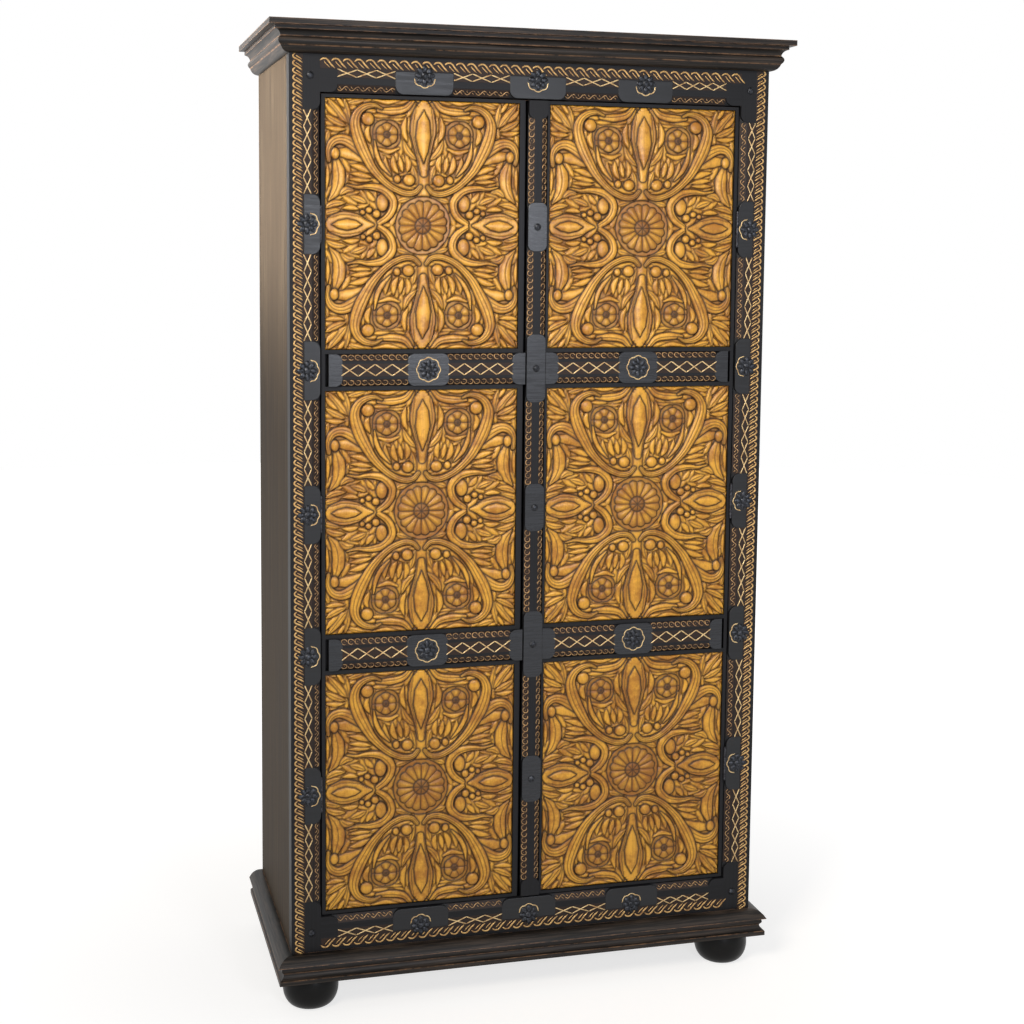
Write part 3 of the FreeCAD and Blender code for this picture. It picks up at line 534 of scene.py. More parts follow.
class Finishes:
    """Every finish of the cupboard, each made once."""

    def __init__(self) -> None:
        """Makes the materials."""
        frame_look = {
            "ground": "#111113", "streak": "#26262a", "patch": "#18191d", "roughness": 0.5, "gloss": 0.2}
        self.frame_up, self.frame_across = (
            StainedWood(f"waxed black frame wood, {word}", grain=grain, **frame_look).build()
            for word, grain in (("upright", Grain.UP), ("level", Grain.ACROSS)))
        self.side = StainedWood(
            "dark stained side boards", ground="#352b21", streak="#6c6051", patch="#43382d", grain=Grain.UP,
            streak_mm=8.0, length_mm=380.0, streak_share=0.75, roughness=0.6, gloss=0.04).build()
        inner_look = {"ground": "#6b4d34", "streak": "#8c6a4a", "patch": "#5a3f2a", "roughness": 0.55}
        self.inner_up, self.inner_across, self.inner_deep = (
            StainedWood(f"plain brown inner wood, {word}", grain=grain, **inner_look).build()
            for word, grain in (("upright", Grain.UP), ("level", Grain.ACROSS), ("end on", Grain.DEEP)))
        self.foot = StainedWood(
            "turned foot, black stain", ground="#0b0b0b", streak="#181716", patch="#121110",
            grain=Grain.ACROSS, roughness=0.36, gloss=0.15).build()
        plate_look = {"grain": Grain.ACROSS, "streak_mm": 5.0, "length_mm": 60.0}
        # The plates of bars and meeting strip are paler and bluer than the frame's plates: painted sheen.
        self.plate = StainedWood(
            "waxed black plates", ground="#1d1f24", streak="#2e3137", patch="#24262b", roughness=0.27,
            gloss=0.4, **plate_look).build()
        self.frame_plate = StainedWood(
            "waxed black plates, dull", ground="#131417", streak="#202226", patch="#191a1e", roughness=0.36,
            gloss=0.35, **plate_look).build()
        self.moulding = RubbedWoodWithPaintedHighlight().build()
        self.gold = CarvedGold().build()
        self.gilt = RubbedGilt("rubbed gold paint").build()
        self.rope_gilt = RubbedGilt("rubbed gold paint, warm", bright="#d2ab6c", thin="#6a3c16").build()
        self.dim_gilt = RubbedGilt(
            "rubbed gold paint, mostly worn", bright="#b28d5e", thin="#4c2f1c").build()
        self.cut_ground = StainedWood(
            "carved ground, dark walnut stain", ground="#1a0e07", streak="#3c2210", patch="#120a06",
            grain=Grain.UP, streak_mm=2.0, length_mm=20.0, roughness=0.55).build()
        self.iron = DarkMetal("blackened iron studs", oxide="#1d1e21", bare="#4a4d54").build()
        self.steel = DarkMetal(
            "blackened hinge steel", oxide="#26262a", bare="#55555a", roughness=0.4).build()
        self.plastic = MouldedPlastic().build()


# Carved panels


@dataclass(frozen=True)
class Stroke:
    """A carved stem, band, leaf or almond along a line, in millimetres on a panel's upper right quarter.

    Widths are half-widths along the line. Flutes are cuts along the form, as shares of its half-width. Ink
    is how dark its outline is, from 0 to 1.
    """

    points: tuple[Point, ...]
    widths: tuple[float, ...]
    level: float
    crown: float
    flutes: tuple[float, ...] = ()
    ink: float = 1.0


@dataclass(frozen=True)
class Ball:
    """A carved round knop, in millimetres on the quarter."""

    centre: Point
    radii: Point
    level: float
    crown: float


@dataclass(frozen=True)
class Flower:
    """A carved flower from the front, in millimetres on the quarter, with the glaze left all over it."""

    centre: Point
    radius: float
    petals: int
    button: float
    level: float
    crown: float
    glaze_share: float


RIBBED_WIDTH = 8.0
LEAF_ENDS = (0.5, 0.4)
LEAF_SHARES = (0.8, 1.0, 0.7)
LEAF_CROWN = 2.6


def leaf(points: tuple[Point, ...], width: float, level: float = 2.0, ink: float = 0.75) -> Stroke:
    """A pointed leaf, with a middle rib if it is wide.

    Args:
        points: its line from stalk to tip.
        width: its half-width at the middle.
        level: the height of its edge above the ground.
        ink: how dark its outline is.

    Returns:
        The leaf as a stroke.
    """
    flutes = (0.0,) if width >= RIBBED_WIDTH else ()
    middle = [share * width for share in LEAF_SHARES]
    return Stroke(points, (LEAF_ENDS[0], *middle, LEAF_ENDS[1]), level, LEAF_CROWN, flutes, ink)


MOTIF: tuple[Stroke | Ball | Flower, ...] = (
    # Swag along the top edge and the band below it
    Stroke(((50, 268), (78, 260), (108, 264)), (4, 6, 3), 1.4, 1.8, (), 0.7),
    Stroke(((24, 264), (40, 248), (66, 242), (98, 242)), (5, 8, 9, 5), 1.8, 2.2, (0.2,)),
    Stroke(((38, 226), (66, 223), (100, 222)), (2, 4.5, 2), 1.2, 1.6, (), 0.7),
    # Spray in the corner
    leaf(((162, 208), (166, 234), (172, 266)), 8, 2.0),
    leaf(((170, 200), (194, 200), (216, 204)), 6.5),
    leaf(((168, 206), (192, 216), (216, 230)), 8, 2.2),
    leaf(((166, 212), (186, 236), (210, 266)), 10, 2.6),
    leaf(((186, 224), (202, 238), (216, 256)), 6, 2.4),
    leaf(((172, 244), (180, 256), (190, 270)), 5.5, 2.4),
    # Leaves beside the upper almond
    leaf(((14, 138), (34, 158), (44, 182)), 8, 2.2),
    leaf(((34, 176), (43, 202), (38, 232)), 7.5, 2.4),
    # Dark patch that the flower stands in
    Flower((80, 192), 33, 4, 8, 0.4, 0.4, 0.4),
    # Calyx below the flower and the leaves under it
    Stroke(((54, 163), (74, 156), (98, 162)), (3, 6, 3), 1.6, 1.8, (), 0.8),
    leaf(((68, 104), (80, 122), (84, 148)), 7.5),
    leaf(((36, 112), (32, 130), (38, 150)), 7),
    leaf(((54, 108), (64, 126), (66, 150)), 7.5, 2.4),
    leaf(((45, 112), (49, 130), (52, 148)), 6.5, 2.6),
    # Tail down the side edge with the leaves on both sides
    leaf(((209, 128), (208, 100), (210, 70)), 5),
    Stroke(((190, 134), (184, 110), (184, 90), (190, 70), (205, 50)), (7, 14, 14, 10, 2), 2.0, 2.4, (0.1,)),
    leaf(((214, 34), (194, 44), (168, 46)), 8, 2.2),
    leaf(((150, 72), (166, 74), (182, 62)), 8, 2.0),
    # Leaf hand below the branch
    leaf(((112, 94), (138, 95), (164, 96)), 6, 2.2),
    leaf(((110, 100), (138, 106), (162, 108)), 6.5, 2.6),
    leaf(((114, 110), (138, 121), (162, 126)), 7.5, 2.8),
    # Branch that hoods the side volute, its leaf and its eye
    Stroke(((124, 132), (152, 147), (186, 152)), (2, 11, 13, 8), 1.8, 2.4, (), 0.85),
    Stroke(((118, 136), (138, 156), (156, 170), (178, 179), (197, 174), (207, 156), (206, 134)),
           (6, 10, 12.5, 11.5, 9.5, 7.5, 5), 3.2, 2.4, (-0.35, 0.3)),
    Ball((193, 149), (9.5, 13), 3.2, 3.6),
    # Side scroll with its bulb, knops and leaves
    leaf(((106, 50), (116, 60), (124, 72)), 7),
    leaf(((124, 46), (140, 54), (160, 60)), 8, 2.4),
    leaf(((140, 32), (158, 36), (178, 34)), 6.5, 2.6),
    Ball((90, 47), (13, 19), 2.6, 3.0),
    Ball((103, 23), (9, 9), 3.0, 3.6),
    Ball((119, 31), (7.5, 7), 2.8, 3.2),
    Ball((133, 26), (6, 6), 2.6, 2.8),
    Stroke(((166, 84), (143, 79), (125, 81), (106, 80), (87, 75), (73, 63), (66, 49), (69, 31), (80, 16),
            (96, 5)),
           (2, 4, 5.5, 7.5, 9, 9.5, 9, 8.5, 8, 6.5), 3.2, 2.6, (0.3,)),
    # Side almond in its lobe
    Stroke(((112, 0), (160, 0), (210, 0)), (4, 13, 24, 29, 22, 5), 2.8, 1.4, (-0.74, 0.74)),
    Stroke(((136, 0), (168, 0), (200, 0)), (0.5, 9, 12.5, 9, 0.5), 5.0, 2.8),
    # Upper almond in its lobe, on the trunk
    Stroke(((0, 66), (0, 96), (0, 126)), (14, 11, 13), 3.0, 2.4, (), 0.8),
    Stroke(((0, 112), (0, 190), (0, 264)), (9, 14, 22, 30, 25, 6), 3.0, 1.6, (-0.76, 0.76)),
    Stroke(((0, 132), (0, 188), (0, 244)), (0.5, 11, 17, 14, 0.5), 5.2, 3.0),
    # Thin leaf beside the stem, then the S-shaped stem with a volute at each end
    Stroke(((107, 178), (102, 150), (90, 126), (72, 106)), (2, 5.5, 5.5, 2), 2.4, 1.8),
    leaf(((116, 172), (124, 194), (118, 212)), 7, 2.6),
    Stroke(((92, 246), (108, 252), (128, 248), (143, 236), (150, 218), (148, 198), (139, 172), (126, 146),
            (112, 122), (97, 104), (80, 88), (62, 76), (40, 68), (20, 70), (8, 82)),
           (3, 6, 8, 10, 12, 13, 13, 11.5, 10, 8.5, 7.5, 7, 7, 6.5, 5), 3.6, 2.8, (-0.35, 0.3)),
    Ball((122, 223), (14, 14), 3.4, 4.0),
    Ball((57, 98), (8, 9), 3.0, 3.0),
    Ball((32, 96), (13, 12.5), 4.0, 4.2),
    # Flowers
    Flower((80, 192), 25, 6, 7, 2.6, 2.2, 0.32),
    Ball((0, 0), (61, 62), 1.4, 0.8),
    Flower((0, 0), 54, 16, 17, 3.8, 3.0, 0.28),
)


class Relief:
    """Heights, glazing with painted shade, and crown with rubbed wear and painted highlight over a quarter of
    a carved panel, cut form by form from back to front.
    """

    cut_mm: float = 1.0
    # Outline and rim darken the cut round each form: partly glazing, partly painted shade.
    outline_mm: float = 2.8
    rim_mm: float = 1.4
    # The wash is a wider, fainter painted shade on the ground beside each form.
    painted_shade_mm: float = 5.5
    painted_shade_share: float = 0.15
    # The bare ground is a little darker all over: partly glazing, partly painted shade.
    ground_glaze_and_shade: float = 0.04
    ground_crown: float = 0.5
    line_depth: float = 0.9
    rim_depth: float = 0.7
    # Cuts along a form are darker too: partly glazing, partly painted shade.
    line_glaze_and_shade: float = 0.9
    crown_rub_and_highlight: float = 0.6
    full_flute: float = 5.0
    margin: float = 18.0
    curve_steps: int = 8
    round_power: float = 0.7
    fills: int = 55
    fill_room: Point = (4.0, 8.5)
    fill_level: float = 0.8
    fill_share: float = 0.95
    leaf_length: float = 2.6
    ball_crown: float = 2.0
    fill_ink: float = 0.5
    fill_reach: float = 30.0
    fill_turns: int = 12
    fill_gap: float = 1.0
    scallop_share: float = 0.1
    petal_start: float = 0.15
    petal_run: float = 0.75
    spokes: int = 8
    spoke_cut: float = 1.7
    spoke_share: float = 0.95
    button_swell: float = 0.2
    sample_room: float = 1.001

    def __init__(self, half_width: float, half_height: float, step: float) -> None:
        """Lays out bare ground.

        Args:
            half_width: half the panel's width in millimetres.
            half_height: half its height.
            step: the distance between samples.
        """
        self.step = step
        across = np.arange(0, half_width + 2 * step, step)
        up = np.arange(0, half_height + 2 * step, step)
        self.x, self.z = np.meshgrid(across, up)
        self.height = np.zeros_like(self.x)
        self.glaze = np.full_like(self.x, self.ground_glaze_and_shade)
        self.crown = np.full_like(self.x, self.ground_crown)
        edge = np.minimum(half_width - self.x, half_height - self.z)
        self.clear = np.minimum(np.minimum(self.x, self.z), edge) + self.fill_room[0]

    def carve(self, forms: Sequence[Stroke | Ball | Flower]) -> None:
        """Cuts every form, over smaller leaves that fill the ground left between them.

        Args:
            forms: the forms from the back to the front.
        """
        for form in forms:
            self.cut(form)
        fillers = self.fillers()
        for form in (*fillers, *forms):
            self.cut(form)

    def fillers(self) -> list[Stroke | Ball | Flower]:
        """Small leaves and knops for the bare ground, the widest gap first.

        Returns:
            The new forms, each along the way in which its gap runs longest.
        """
        turns = np.linspace(0, math.pi, self.fill_turns, endpoint=False)
        found = []
        for _ in range(self.fills):
            row, column = np.unravel_index(np.argmax(self.clear), self.clear.shape)
            room = min(float(self.clear[row, column]), self.fill_room[1])
            if room < self.fill_room[0]:
                break
            middle = np.array((self.x[row, column], self.z[row, column]))
            ends = []
            for turn in turns:
                way = np.array((math.cos(turn), math.sin(turn)))
                ends.append((middle - way * self.free_run(middle, -way),
                             middle + way * self.free_run(middle, way)))
            first, last = max(ends, key=lambda pair: float(np.hypot(*(pair[1] - pair[0]))))
            centre = (float(middle[0]), float(middle[1]))
            half = self.fill_share * room
            if np.hypot(*(last - first)) > self.leaf_length * room:
                form = leaf((tuple(first), centre, tuple(last)), half, self.fill_level, self.fill_ink)
            else:
                form = Ball(centre, (half, half), self.fill_level, self.ball_crown)
            self.cut(form)
            found.append(form)
        return found

    def free_run(self, start: np.ndarray, way: np.ndarray) -> float:
        """How far bare ground runs from a place, in millimetres.

        Args:
            start: the place.
            way: the direction, of length one.

        Returns:
            The distance to the next form, at most the longest half of a filling leaf.
        """
        steps = np.arange(self.step, self.fill_reach, 2 * self.step)
        column = np.rint((start[0] + way[0] * steps) / self.step).astype(int)
        row = np.rint((start[1] + way[1] * steps) / self.step).astype(int)
        within = (column >= 0) & (row >= 0) & (column < self.x.shape[1]) & (row < self.x.shape[0])
        clear = np.full(len(steps), -1.0)
        clear[within] = self.clear[row[within], column[within]]
        stopped = np.nonzero(clear < self.fill_gap)[0]
        return float(steps[stopped[0]] if len(stopped) else steps[-1])

    def window(self, points: np.ndarray, reach: float) -> tuple[slice, slice]:
        """The part of the field that a form can touch.

        Args:
            points: places along the form.
            reach: its greatest half-width.

        Returns:
            Its rows and columns.
        """
        low = np.floor((points.min(0) - reach - self.margin) / self.step).astype(int).clip(0)
        high = np.ceil((points.max(0) + reach + self.margin) / self.step).astype(int).clip(1)
        return slice(low[1], high[1] + 1), slice(low[0], high[0] + 1)

    def cut(self, form: Stroke | Ball | Flower) -> None:
        """Cuts one form into the field.

        Args:
            form: the form.
        """
        if isinstance(form, Stroke):
            self.cut_stroke(form)
        elif isinstance(form, Ball):
            self.cut_ball(form)
        else:
            self.cut_flower(form)

    def lay(self, part: tuple[slice, slice], edge: np.ndarray, height: np.ndarray, lines: np.ndarray,
            swell: np.ndarray, glaze_share: float = 0.0, ink: float = 1.0) -> None:
        """Lays a form over what is there, with a dark outline in the cut round it, partly glazing and partly
        painted shade, and a wider, fainter painted shade beside that.

        Args:
            part: the rows and columns that it can touch.
            edge: the distance inside the form's outline, less than zero outside.
            height: the form's height where it lies.
            lines: how strongly its own cuts show, from 0 to 1.
            swell: how near each place is to the form's crown, from 0 to 1.
            glaze_share: how much glaze is left all over the form.
            ink: how dark its outline is.
        """
        inside = edge > 0
        # The rim darkens the cut round the form, partly as glazing and partly as painted shade; the wash
        # beyond it is painted shade.
        rim = ink * np.exp(-(edge / np.where(inside, self.rim_mm, self.outline_mm)) ** 2)
        painted_shade = ink * self.painted_shade_share * np.exp(-(edge / self.painted_shade_mm) ** 2)
        cut, sunk = height - self.line_depth * lines, self.height[part] - self.rim_depth * rim
        self.height[part] = np.where(inside, cut, sunk)
        # Glazing left over a flower thins toward its crown: partly rubbed wear, partly painted highlight.
        left = glaze_share * (1 - self.crown_rub_and_highlight * swell)
        dark = np.maximum(np.maximum(rim, self.line_glaze_and_shade * lines), left)
        self.glaze[part] = np.where(inside, dark, np.maximum(self.glaze[part], np.maximum(rim, painted_shade)))
        # The crown pales the colour toward each form's crown and leaves its sides darker: partly rubbed wear,
        # partly painted highlight and shade.
        self.crown[part] = np.where(inside, swell, self.crown[part])
        self.clear[part] = np.minimum(self.clear[part], -edge)

    def cut_stroke(self, form: Stroke) -> None:
        """Cuts a form that follows a line.

        Args:
            form: the form.
        """
        line = smooth_curve(form.points, self.curve_steps)
        lengths = np.hypot(*np.diff(line, axis=0).T)
        travel = np.concatenate([[0.0], np.cumsum(lengths)])
        share = travel / travel[-1]
        halves = np.interp(share, np.linspace(0, 1, len(form.widths)), form.widths)
        part = self.window(line, max(form.widths))
        x, z = self.x[part], self.z[part]
        best = np.full(x.shape, -np.inf)
        side = np.zeros_like(best)
        half = np.ones_like(best)
        for number, length in enumerate(lengths):
            start, end = line[number], line[number + 1]
            run = (end - start) / length
            from_x, from_z = x - start[0], z - start[1]
            along = np.clip(from_x * run[0] + from_z * run[1], 0, length)
            off_x, off_z = from_x - along * run[0], from_z - along * run[1]
            width = halves[number] + (halves[number + 1] - halves[number]) * along / length
            room = width - np.hypot(off_x, off_z)
            nearer = room > best
            best = np.where(nearer, room, best)
            half = np.where(nearer, width, half)
            side = np.where(nearer, off_z * run[0] - off_x * run[1], side)
        across = np.clip(side / half, -1, 1)
        swell = np.clip(1 - across ** 2, 0, 1)
        lines = np.zeros_like(best)
        for flute in form.flutes:
            groove = np.exp(-((across - flute) * half / self.cut_mm) ** 2)
            lines = np.maximum(lines, groove * np.clip(half / self.full_flute, 0, 1))
        # The colour pales toward the form's middle line: partly rubbed wear, partly painted highlight.
        flat_top = 1 - across ** 4
        height = form.level + form.crown * swell ** self.round_power
        self.lay(part, best, height, lines, flat_top, ink=form.ink)

    def cut_ball(self, form: Ball) -> None:
        """Cuts a knop.

        Args:
            form: the form.
        """
        part = self.window(np.array([form.centre]), max(form.radii))
        off_x = (self.x[part] - form.centre[0]) / form.radii[0]
        off_z = (self.z[part] - form.centre[1]) / form.radii[1]
        far = np.hypot(off_x, off_z)
        round_top = np.sqrt(np.clip(1 - far ** 2, 0, 1))
        height = form.level + form.crown * round_top
        self.lay(part, (1 - far) * min(form.radii), height, np.zeros_like(far), round_top)

    def cut_flower(self, form: Flower) -> None:
        """Cuts a flower with scalloped petals round a button.

        Args:
            form: the form.
        """
        part = self.window(np.array([form.centre]), form.radius)
        off_x, off_z = self.x[part] - form.centre[0], self.z[part] - form.centre[1]
        far = np.hypot(off_x, off_z)
        turn = np.arctan2(off_z, off_x) * form.petals / (2 * math.pi)
        from_seam = np.abs(turn - np.round(turn))
        full = np.sqrt(np.clip(2 * from_seam, 0, 1))
        scallop = form.radius * (1 - self.scallop_share + self.scallop_share * full)
        seam_mm = from_seam * 2 * math.pi * np.maximum(far, 1) / form.petals
        lines = np.exp(-(seam_mm / self.cut_mm) ** 2)
        reach = np.clip((far - form.button) / (form.radius - form.button), 0, 1)
        petal = np.sin(math.pi * (self.petal_start + self.petal_run * reach)) * full
        height = form.level + form.crown * petal
        in_button = far < form.button
        ring = np.exp(-((far - form.button) / self.outline_mm) ** 2)
        spoke = np.arctan2(off_z, off_x) * self.spokes / (2 * math.pi)
        spoke_mm = np.abs(spoke - np.round(spoke)) * 2 * math.pi / self.spokes * far
        cross_cut = np.exp(-(spoke_mm / (self.spoke_cut * self.cut_mm)) ** 2)
        cross_cut *= far < self.spoke_share * form.button
        button = form.level + form.crown * np.sqrt(np.clip(1 - (far / form.button) ** 2, 0, 1))
        self.lay(part, scallop - far, np.where(in_button, button, height),
                 np.where(in_button, np.maximum(ring, cross_cut), np.maximum(lines, ring)),
                 np.where(in_button, self.button_swell, petal), form.glaze_share)

    def sample(self, field_name: str, x: np.ndarray, z: np.ndarray) -> np.ndarray:
        """Reads one of the fields between its samples.

        Args:
            field_name: the name of the height, of the glazing with painted shade, or of the crown.
            x: places across the panel from its middle.
            z: places up it.

        Returns:
            The field's values there.
        """
        values = getattr(self, field_name)
        across = np.clip(np.abs(x) / self.step, 0, values.shape[1] - self.sample_room)
        up = np.clip(np.abs(z) / self.step, 0, values.shape[0] - self.sample_room)
        column, row = across.astype(int), up.astype(int)
        part_x, part_z = across - column, up - row
        low = values[row, column] * (1 - part_x) + values[row, column + 1] * part_x
        high = values[row + 1, column] * (1 - part_x) + values[row + 1, column + 1] * part_x
        return low * (1 - part_z) + high * part_z


@dataclass
class CarvedPanels:
    """The six carved door panels, all of one pattern, each a little unlike the rest as hand work is."""

    finishes: Finishes
    drawing_half: Point = (214.0, 265.5)
    drawing_step: float = 0.9
    mesh_step: float = 1.55
    relief_height: float = 9.0
    deepest: float = 1.0
    border: float = 3.0
    border_share: float = 0.25
    sway: float = 2.2
    sway_waves: int = 4
    sway_pull: float = 0.03
    back_glaze: float = 0.45

    def build(self) -> None:
        """Carves and places all the panels."""
        relief = Relief(*self.drawing_half, self.drawing_step)
        relief.carve(MOTIF)
        draw = np.random.default_rng(SEED)
        for body in DOORS:
            for row in ("bottom", "middle", "top"):
                node = f"{body.value}_{row}_panel"
                mesh = self.panel_mesh(relief, *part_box(node), draw)
                mesh.materials.append(self.finishes.gold)
                new_piece(f"{node}_carving", mesh, body, [node])

    def swayed(self, x: np.ndarray, z: np.ndarray, draw: np.random.Generator) -> np.ndarray:
        """A slow uneven shift over the panel.

        Args:
            x: places across the panel.
            z: places up it.
            draw: the source of uneven values.

        Returns:
            The shift at each place, in millimetres.
        """
        shift = np.zeros_like(x)
        for _ in range(self.sway_waves):
            pull = draw.uniform(-1, 1, 2) * self.sway_pull
            shift += np.sin(pull[0] * x + pull[1] * z + draw.uniform(0, 2 * math.pi))
        return shift * self.sway / self.sway_waves

    def panel_mesh(self, relief: Relief, low: Vector, high: Vector,
                   draw: np.random.Generator) -> Mesh:
        """Makes one closed panel with its carved face.

        Args:
            relief: the carved quarter.
            low: the lowest corner of the panel's box.
            high: its highest corner.
            draw: the source of uneven values.

        Returns:
            The mesh, with attributes for the glazing with painted shade and for the crown with rubbed wear
            and painted highlight.
        """
        size_x, size_z = (high.x - low.x) / MM, (high.z - low.z) / MM
        columns, rows = round(size_x / self.mesh_step), round(size_z / self.mesh_step)
        x, z = np.meshgrid(np.linspace(-size_x / 2, size_x / 2, columns + 1),
                           np.linspace(-size_z / 2, size_z / 2, rows + 1))
        drawn_x = x * 2 * self.drawing_half[0] / size_x + self.swayed(x, z, draw)
        drawn_z = z * 2 * self.drawing_half[1] / size_z + self.swayed(x, z, draw)
        height = np.clip(relief.sample("height", drawn_x, drawn_z), -self.deepest, self.relief_height)
        from_edge = np.minimum(size_x / 2 - np.abs(x), size_z / 2 - np.abs(z))
        height *= np.clip(from_edge / self.border, self.border_share, 1)
        front = low.y + (self.relief_height - height) * MM
        grid = np.stack([(low.x + high.x) / 2 + x * MM, front, (low.z + high.z) / 2 + z * MM], -1)
        corners = [(side, high.y, level) for level in (low.z, high.z) for side in (low.x, high.x)]
        verts = np.vstack([grid.reshape(-1, 3), corners])
        index = np.arange((columns + 1) * (rows + 1)).reshape(rows + 1, columns + 1)
        quads = np.stack([index[:-1, :-1], index[:-1, 1:], index[1:, 1:], index[1:, :-1]], -1).reshape(-1, 4)
        back = index.size + np.arange(4)
        walls = [
            [*index[0, ::-1], back[0], back[1]],
            [*index[-1], back[3], back[2]],
            [*index[:, 0], back[2], back[0]],
            [*index[::-1, -1], back[1], back[3]],
            [back[0], back[2], back[3], back[1]],
        ]
        mesh = bpy.data.meshes.new("panel")
        mesh.from_pydata(verts.tolist(), [], quads.tolist() + [[int(v) for v in wall] for wall in walls])
        smooth = np.ones(len(mesh.polygons), bool)
        smooth[len(quads):] = False
        mesh.polygons.foreach_set("use_smooth", smooth)
        for name, back_value in (("glaze", self.back_glaze), ("crown", 0.0)):
            values = relief.sample(name, drawn_x, drawn_z).ravel()
            layer = mesh.attributes.new(name, "FLOAT", "POINT")
            layer.data.foreach_set("value", np.append(values, [back_value] * 4).astype(np.float32))
        mesh.update()
        return mesh


# Carved and gilded rows


RIDGE_SECTION = ((-1.0, 0.0), (-0.62, 0.74), (0.0, 1.0), (0.62, 0.74), (1.0, 0.0))
RIDGE_SUNK = 0.3
BLUNT_SHARE = 0.45
FULL_TURN = 360.0


def ridges(name: str, lines: Sequence[np.ndarray], halves: Sequence[float], rise: float,
           closed: bool = False) -> Object:
    """Makes half-round ridges along lines on a flat face, as an object outside the scene for rows to repeat.

    Args:
        name: the object's name.
        lines: places along each line, across and up the face, in millimetres.
        halves: half of each ridge's width.
        rise: how far they stand out.
        closed: whether each line is a ring.

    Returns:
        The object, facing along -Y, in metres.
    """
    shape = bmesh.new()
    for line, half in zip(lines, halves):
        ahead = np.roll(line, -1, 0) - np.roll(line, 1, 0)
        sizes = np.ones(len(line))
        if not closed:
            ahead[0], ahead[-1] = line[1] - line[0], line[-1] - line[-2]
            sizes[[0, -1]] = BLUNT_SHARE
        ahead /= np.hypot(*ahead.T)[:, None]
        rings = []
        for (x, z), (way_x, way_z), size in zip(line, ahead, sizes):
            ring = []
            for sideways, up in RIDGE_SECTION:
                out = sideways * half * size
                depth = RIDGE_SUNK - up * (rise * size + RIDGE_SUNK)
                ring.append(((x - way_z * out) * MM, depth * MM, (z + way_x * out) * MM))
            rings.append(ring)
        skin(shape, rings, closed)
    return bpy.data.objects.new(name, as_mesh(shape, name, smooth_to=ALL_SMOOTH))


@dataclass
class Motifs:
    """The small carved shapes that the rows repeat, drawn with the row along X and its outer side up."""

    strand_pitch: float = 15.0
    hook_pitch: float = 24.5
    band: float = 20.0
    diamond_length: float = 36.0
    diamond_height: float = 16.0
    bar_diamond_height: float = 25.0
    vine_length: float = 24.0
    vine_height: float = 12.5
    ring_pitch: float = 14.5
    line_half: float = 2.1
    leg_half: float = 1.3
    diamond_half: float = 1.6
    vine_half: float = 1.2
    line_rise: float = 1.2
    line_places: int = 9
    vine_share: float = 0.75
    ring_turn: float = 1.7
    ring_share: float = 0.42
    bead_half: float = 0.8
    scallop_count: int = 8
    scallop_step: float = 5.0
    scallop_shares: Point = (0.93, 0.11)

    def strand(self, pitch: float, hand: float) -> Object:
        """One twist of the running rope.

        Args:
            pitch: the twist's length along the row.
            hand: 1 where its tail runs on along the row, -1 where it runs back.

        Returns:
            The motif.
        """
        hook = ((-0.5, 0.5), (-0.3, 0.9), (0.0, 0.95), (0.2, 0.6), (0.42, -0.1), (0.8, -0.95))
        inner = ((-0.16, 0.4), (0.04, -0.15), (0.36, -0.85))
        lines = [smooth_curve([(hand * along * pitch, up * self.band / 2) for along, up in shares], 2)
                 for shares in (hook, inner)]
        return ridges("strand", lines, [self.line_half, self.leg_half], self.line_rise)

    def diamond(self, height: float) -> Object:
        """One crossing of the chain of lozenges, with half a lozenge on each side.

        Args:
            height: how tall it is across the row, in millimetres.

        Returns:
            The motif.
        """
        shares = np.array((-1.0, -0.88, 0.88, 1.0))[:, None]
        lines = [shares * (self.diamond_length / 2, side * height / 2) for side in (1, -1)]
        return ridges("diamond", lines, [self.diamond_half] * 2, self.line_rise)

    def vine(self) -> Object:
        """One wave of a running vine with a leaf in each hollow, for the chamfers of the face frame.

        Returns:
            The motif.
        """
        long, high = self.vine_length, self.vine_height / 2
        along = np.linspace(-0.5, 0.5, self.line_places)
        stem = np.stack([long * along, self.vine_share * high * np.sin(2 * math.pi * along)], 1)
        spots = np.array(((-0.33, 0.75), (-0.26, 0.3), (-0.15, -0.05)))
        leaves = [side * spots * (long, high) for side in (1, -1)]
        return ridges("vine", [stem, *leaves], [self.vine_half] * 3, self.line_rise)

    def ring(self) -> Object:
        """A small open ring and bead, for the chamfers of bars and meeting strip.

        Returns:
            The motif.
        """
        turns = np.linspace(0, self.ring_turn * math.pi, self.line_places)
        line = self.ring_share * self.ring_pitch * np.stack([np.cos(turns), np.sin(turns)], 1)
        bead = np.array(((-self.bead_half, 0.0), (self.bead_half, 0.0)))
        return ridges("ring", [line, bead], [self.leg_half] * 2, self.line_rise)

    def scallops(self, first: float, last: float, radius: float) -> Object:
        """The scalloped gold line round a rosette.

        Args:
            first: the angle it starts at, in degrees from the row's own direction.
            last: the angle it ends at.
            radius: its mean radius.

        Returns:
            The motif.
        """
        turns = np.radians(np.linspace(first, last, round((last - first) / self.scallop_step) + 1))
        least, swing = self.scallop_shares
        reach = radius * (least + swing * np.abs(np.cos(turns * self.scallop_count / 2)))
        line = np.stack([reach * np.cos(turns), reach * np.sin(turns)], 1)
        full = last - first == FULL_TURN
        return ridges("scallops", [line[:-1] if full else line], [self.diamond_half], self.line_rise, full)


def tree_with(name: str, inputs: dict[str, str]) -> tuple[NodeTree, Any]:
    """Starts a geometry tree with named inputs.

    Args:
        name: the tree's name.
        inputs: the kind of socket of each input, by name.

    Returns:
        The tree and its inputs by name.
    """
    tree = bpy.data.node_groups.new(name, "GeometryNodeTree")
    for label, kind in inputs.items():
        tree.interface.new_socket(label, in_out="INPUT", socket_type=f"NodeSocket{kind}")
    tree.interface.new_socket("Geometry", in_out="OUTPUT", socket_type="NodeSocketGeometry")
    return tree, add_node(tree, "NodeGroupInput").outputs


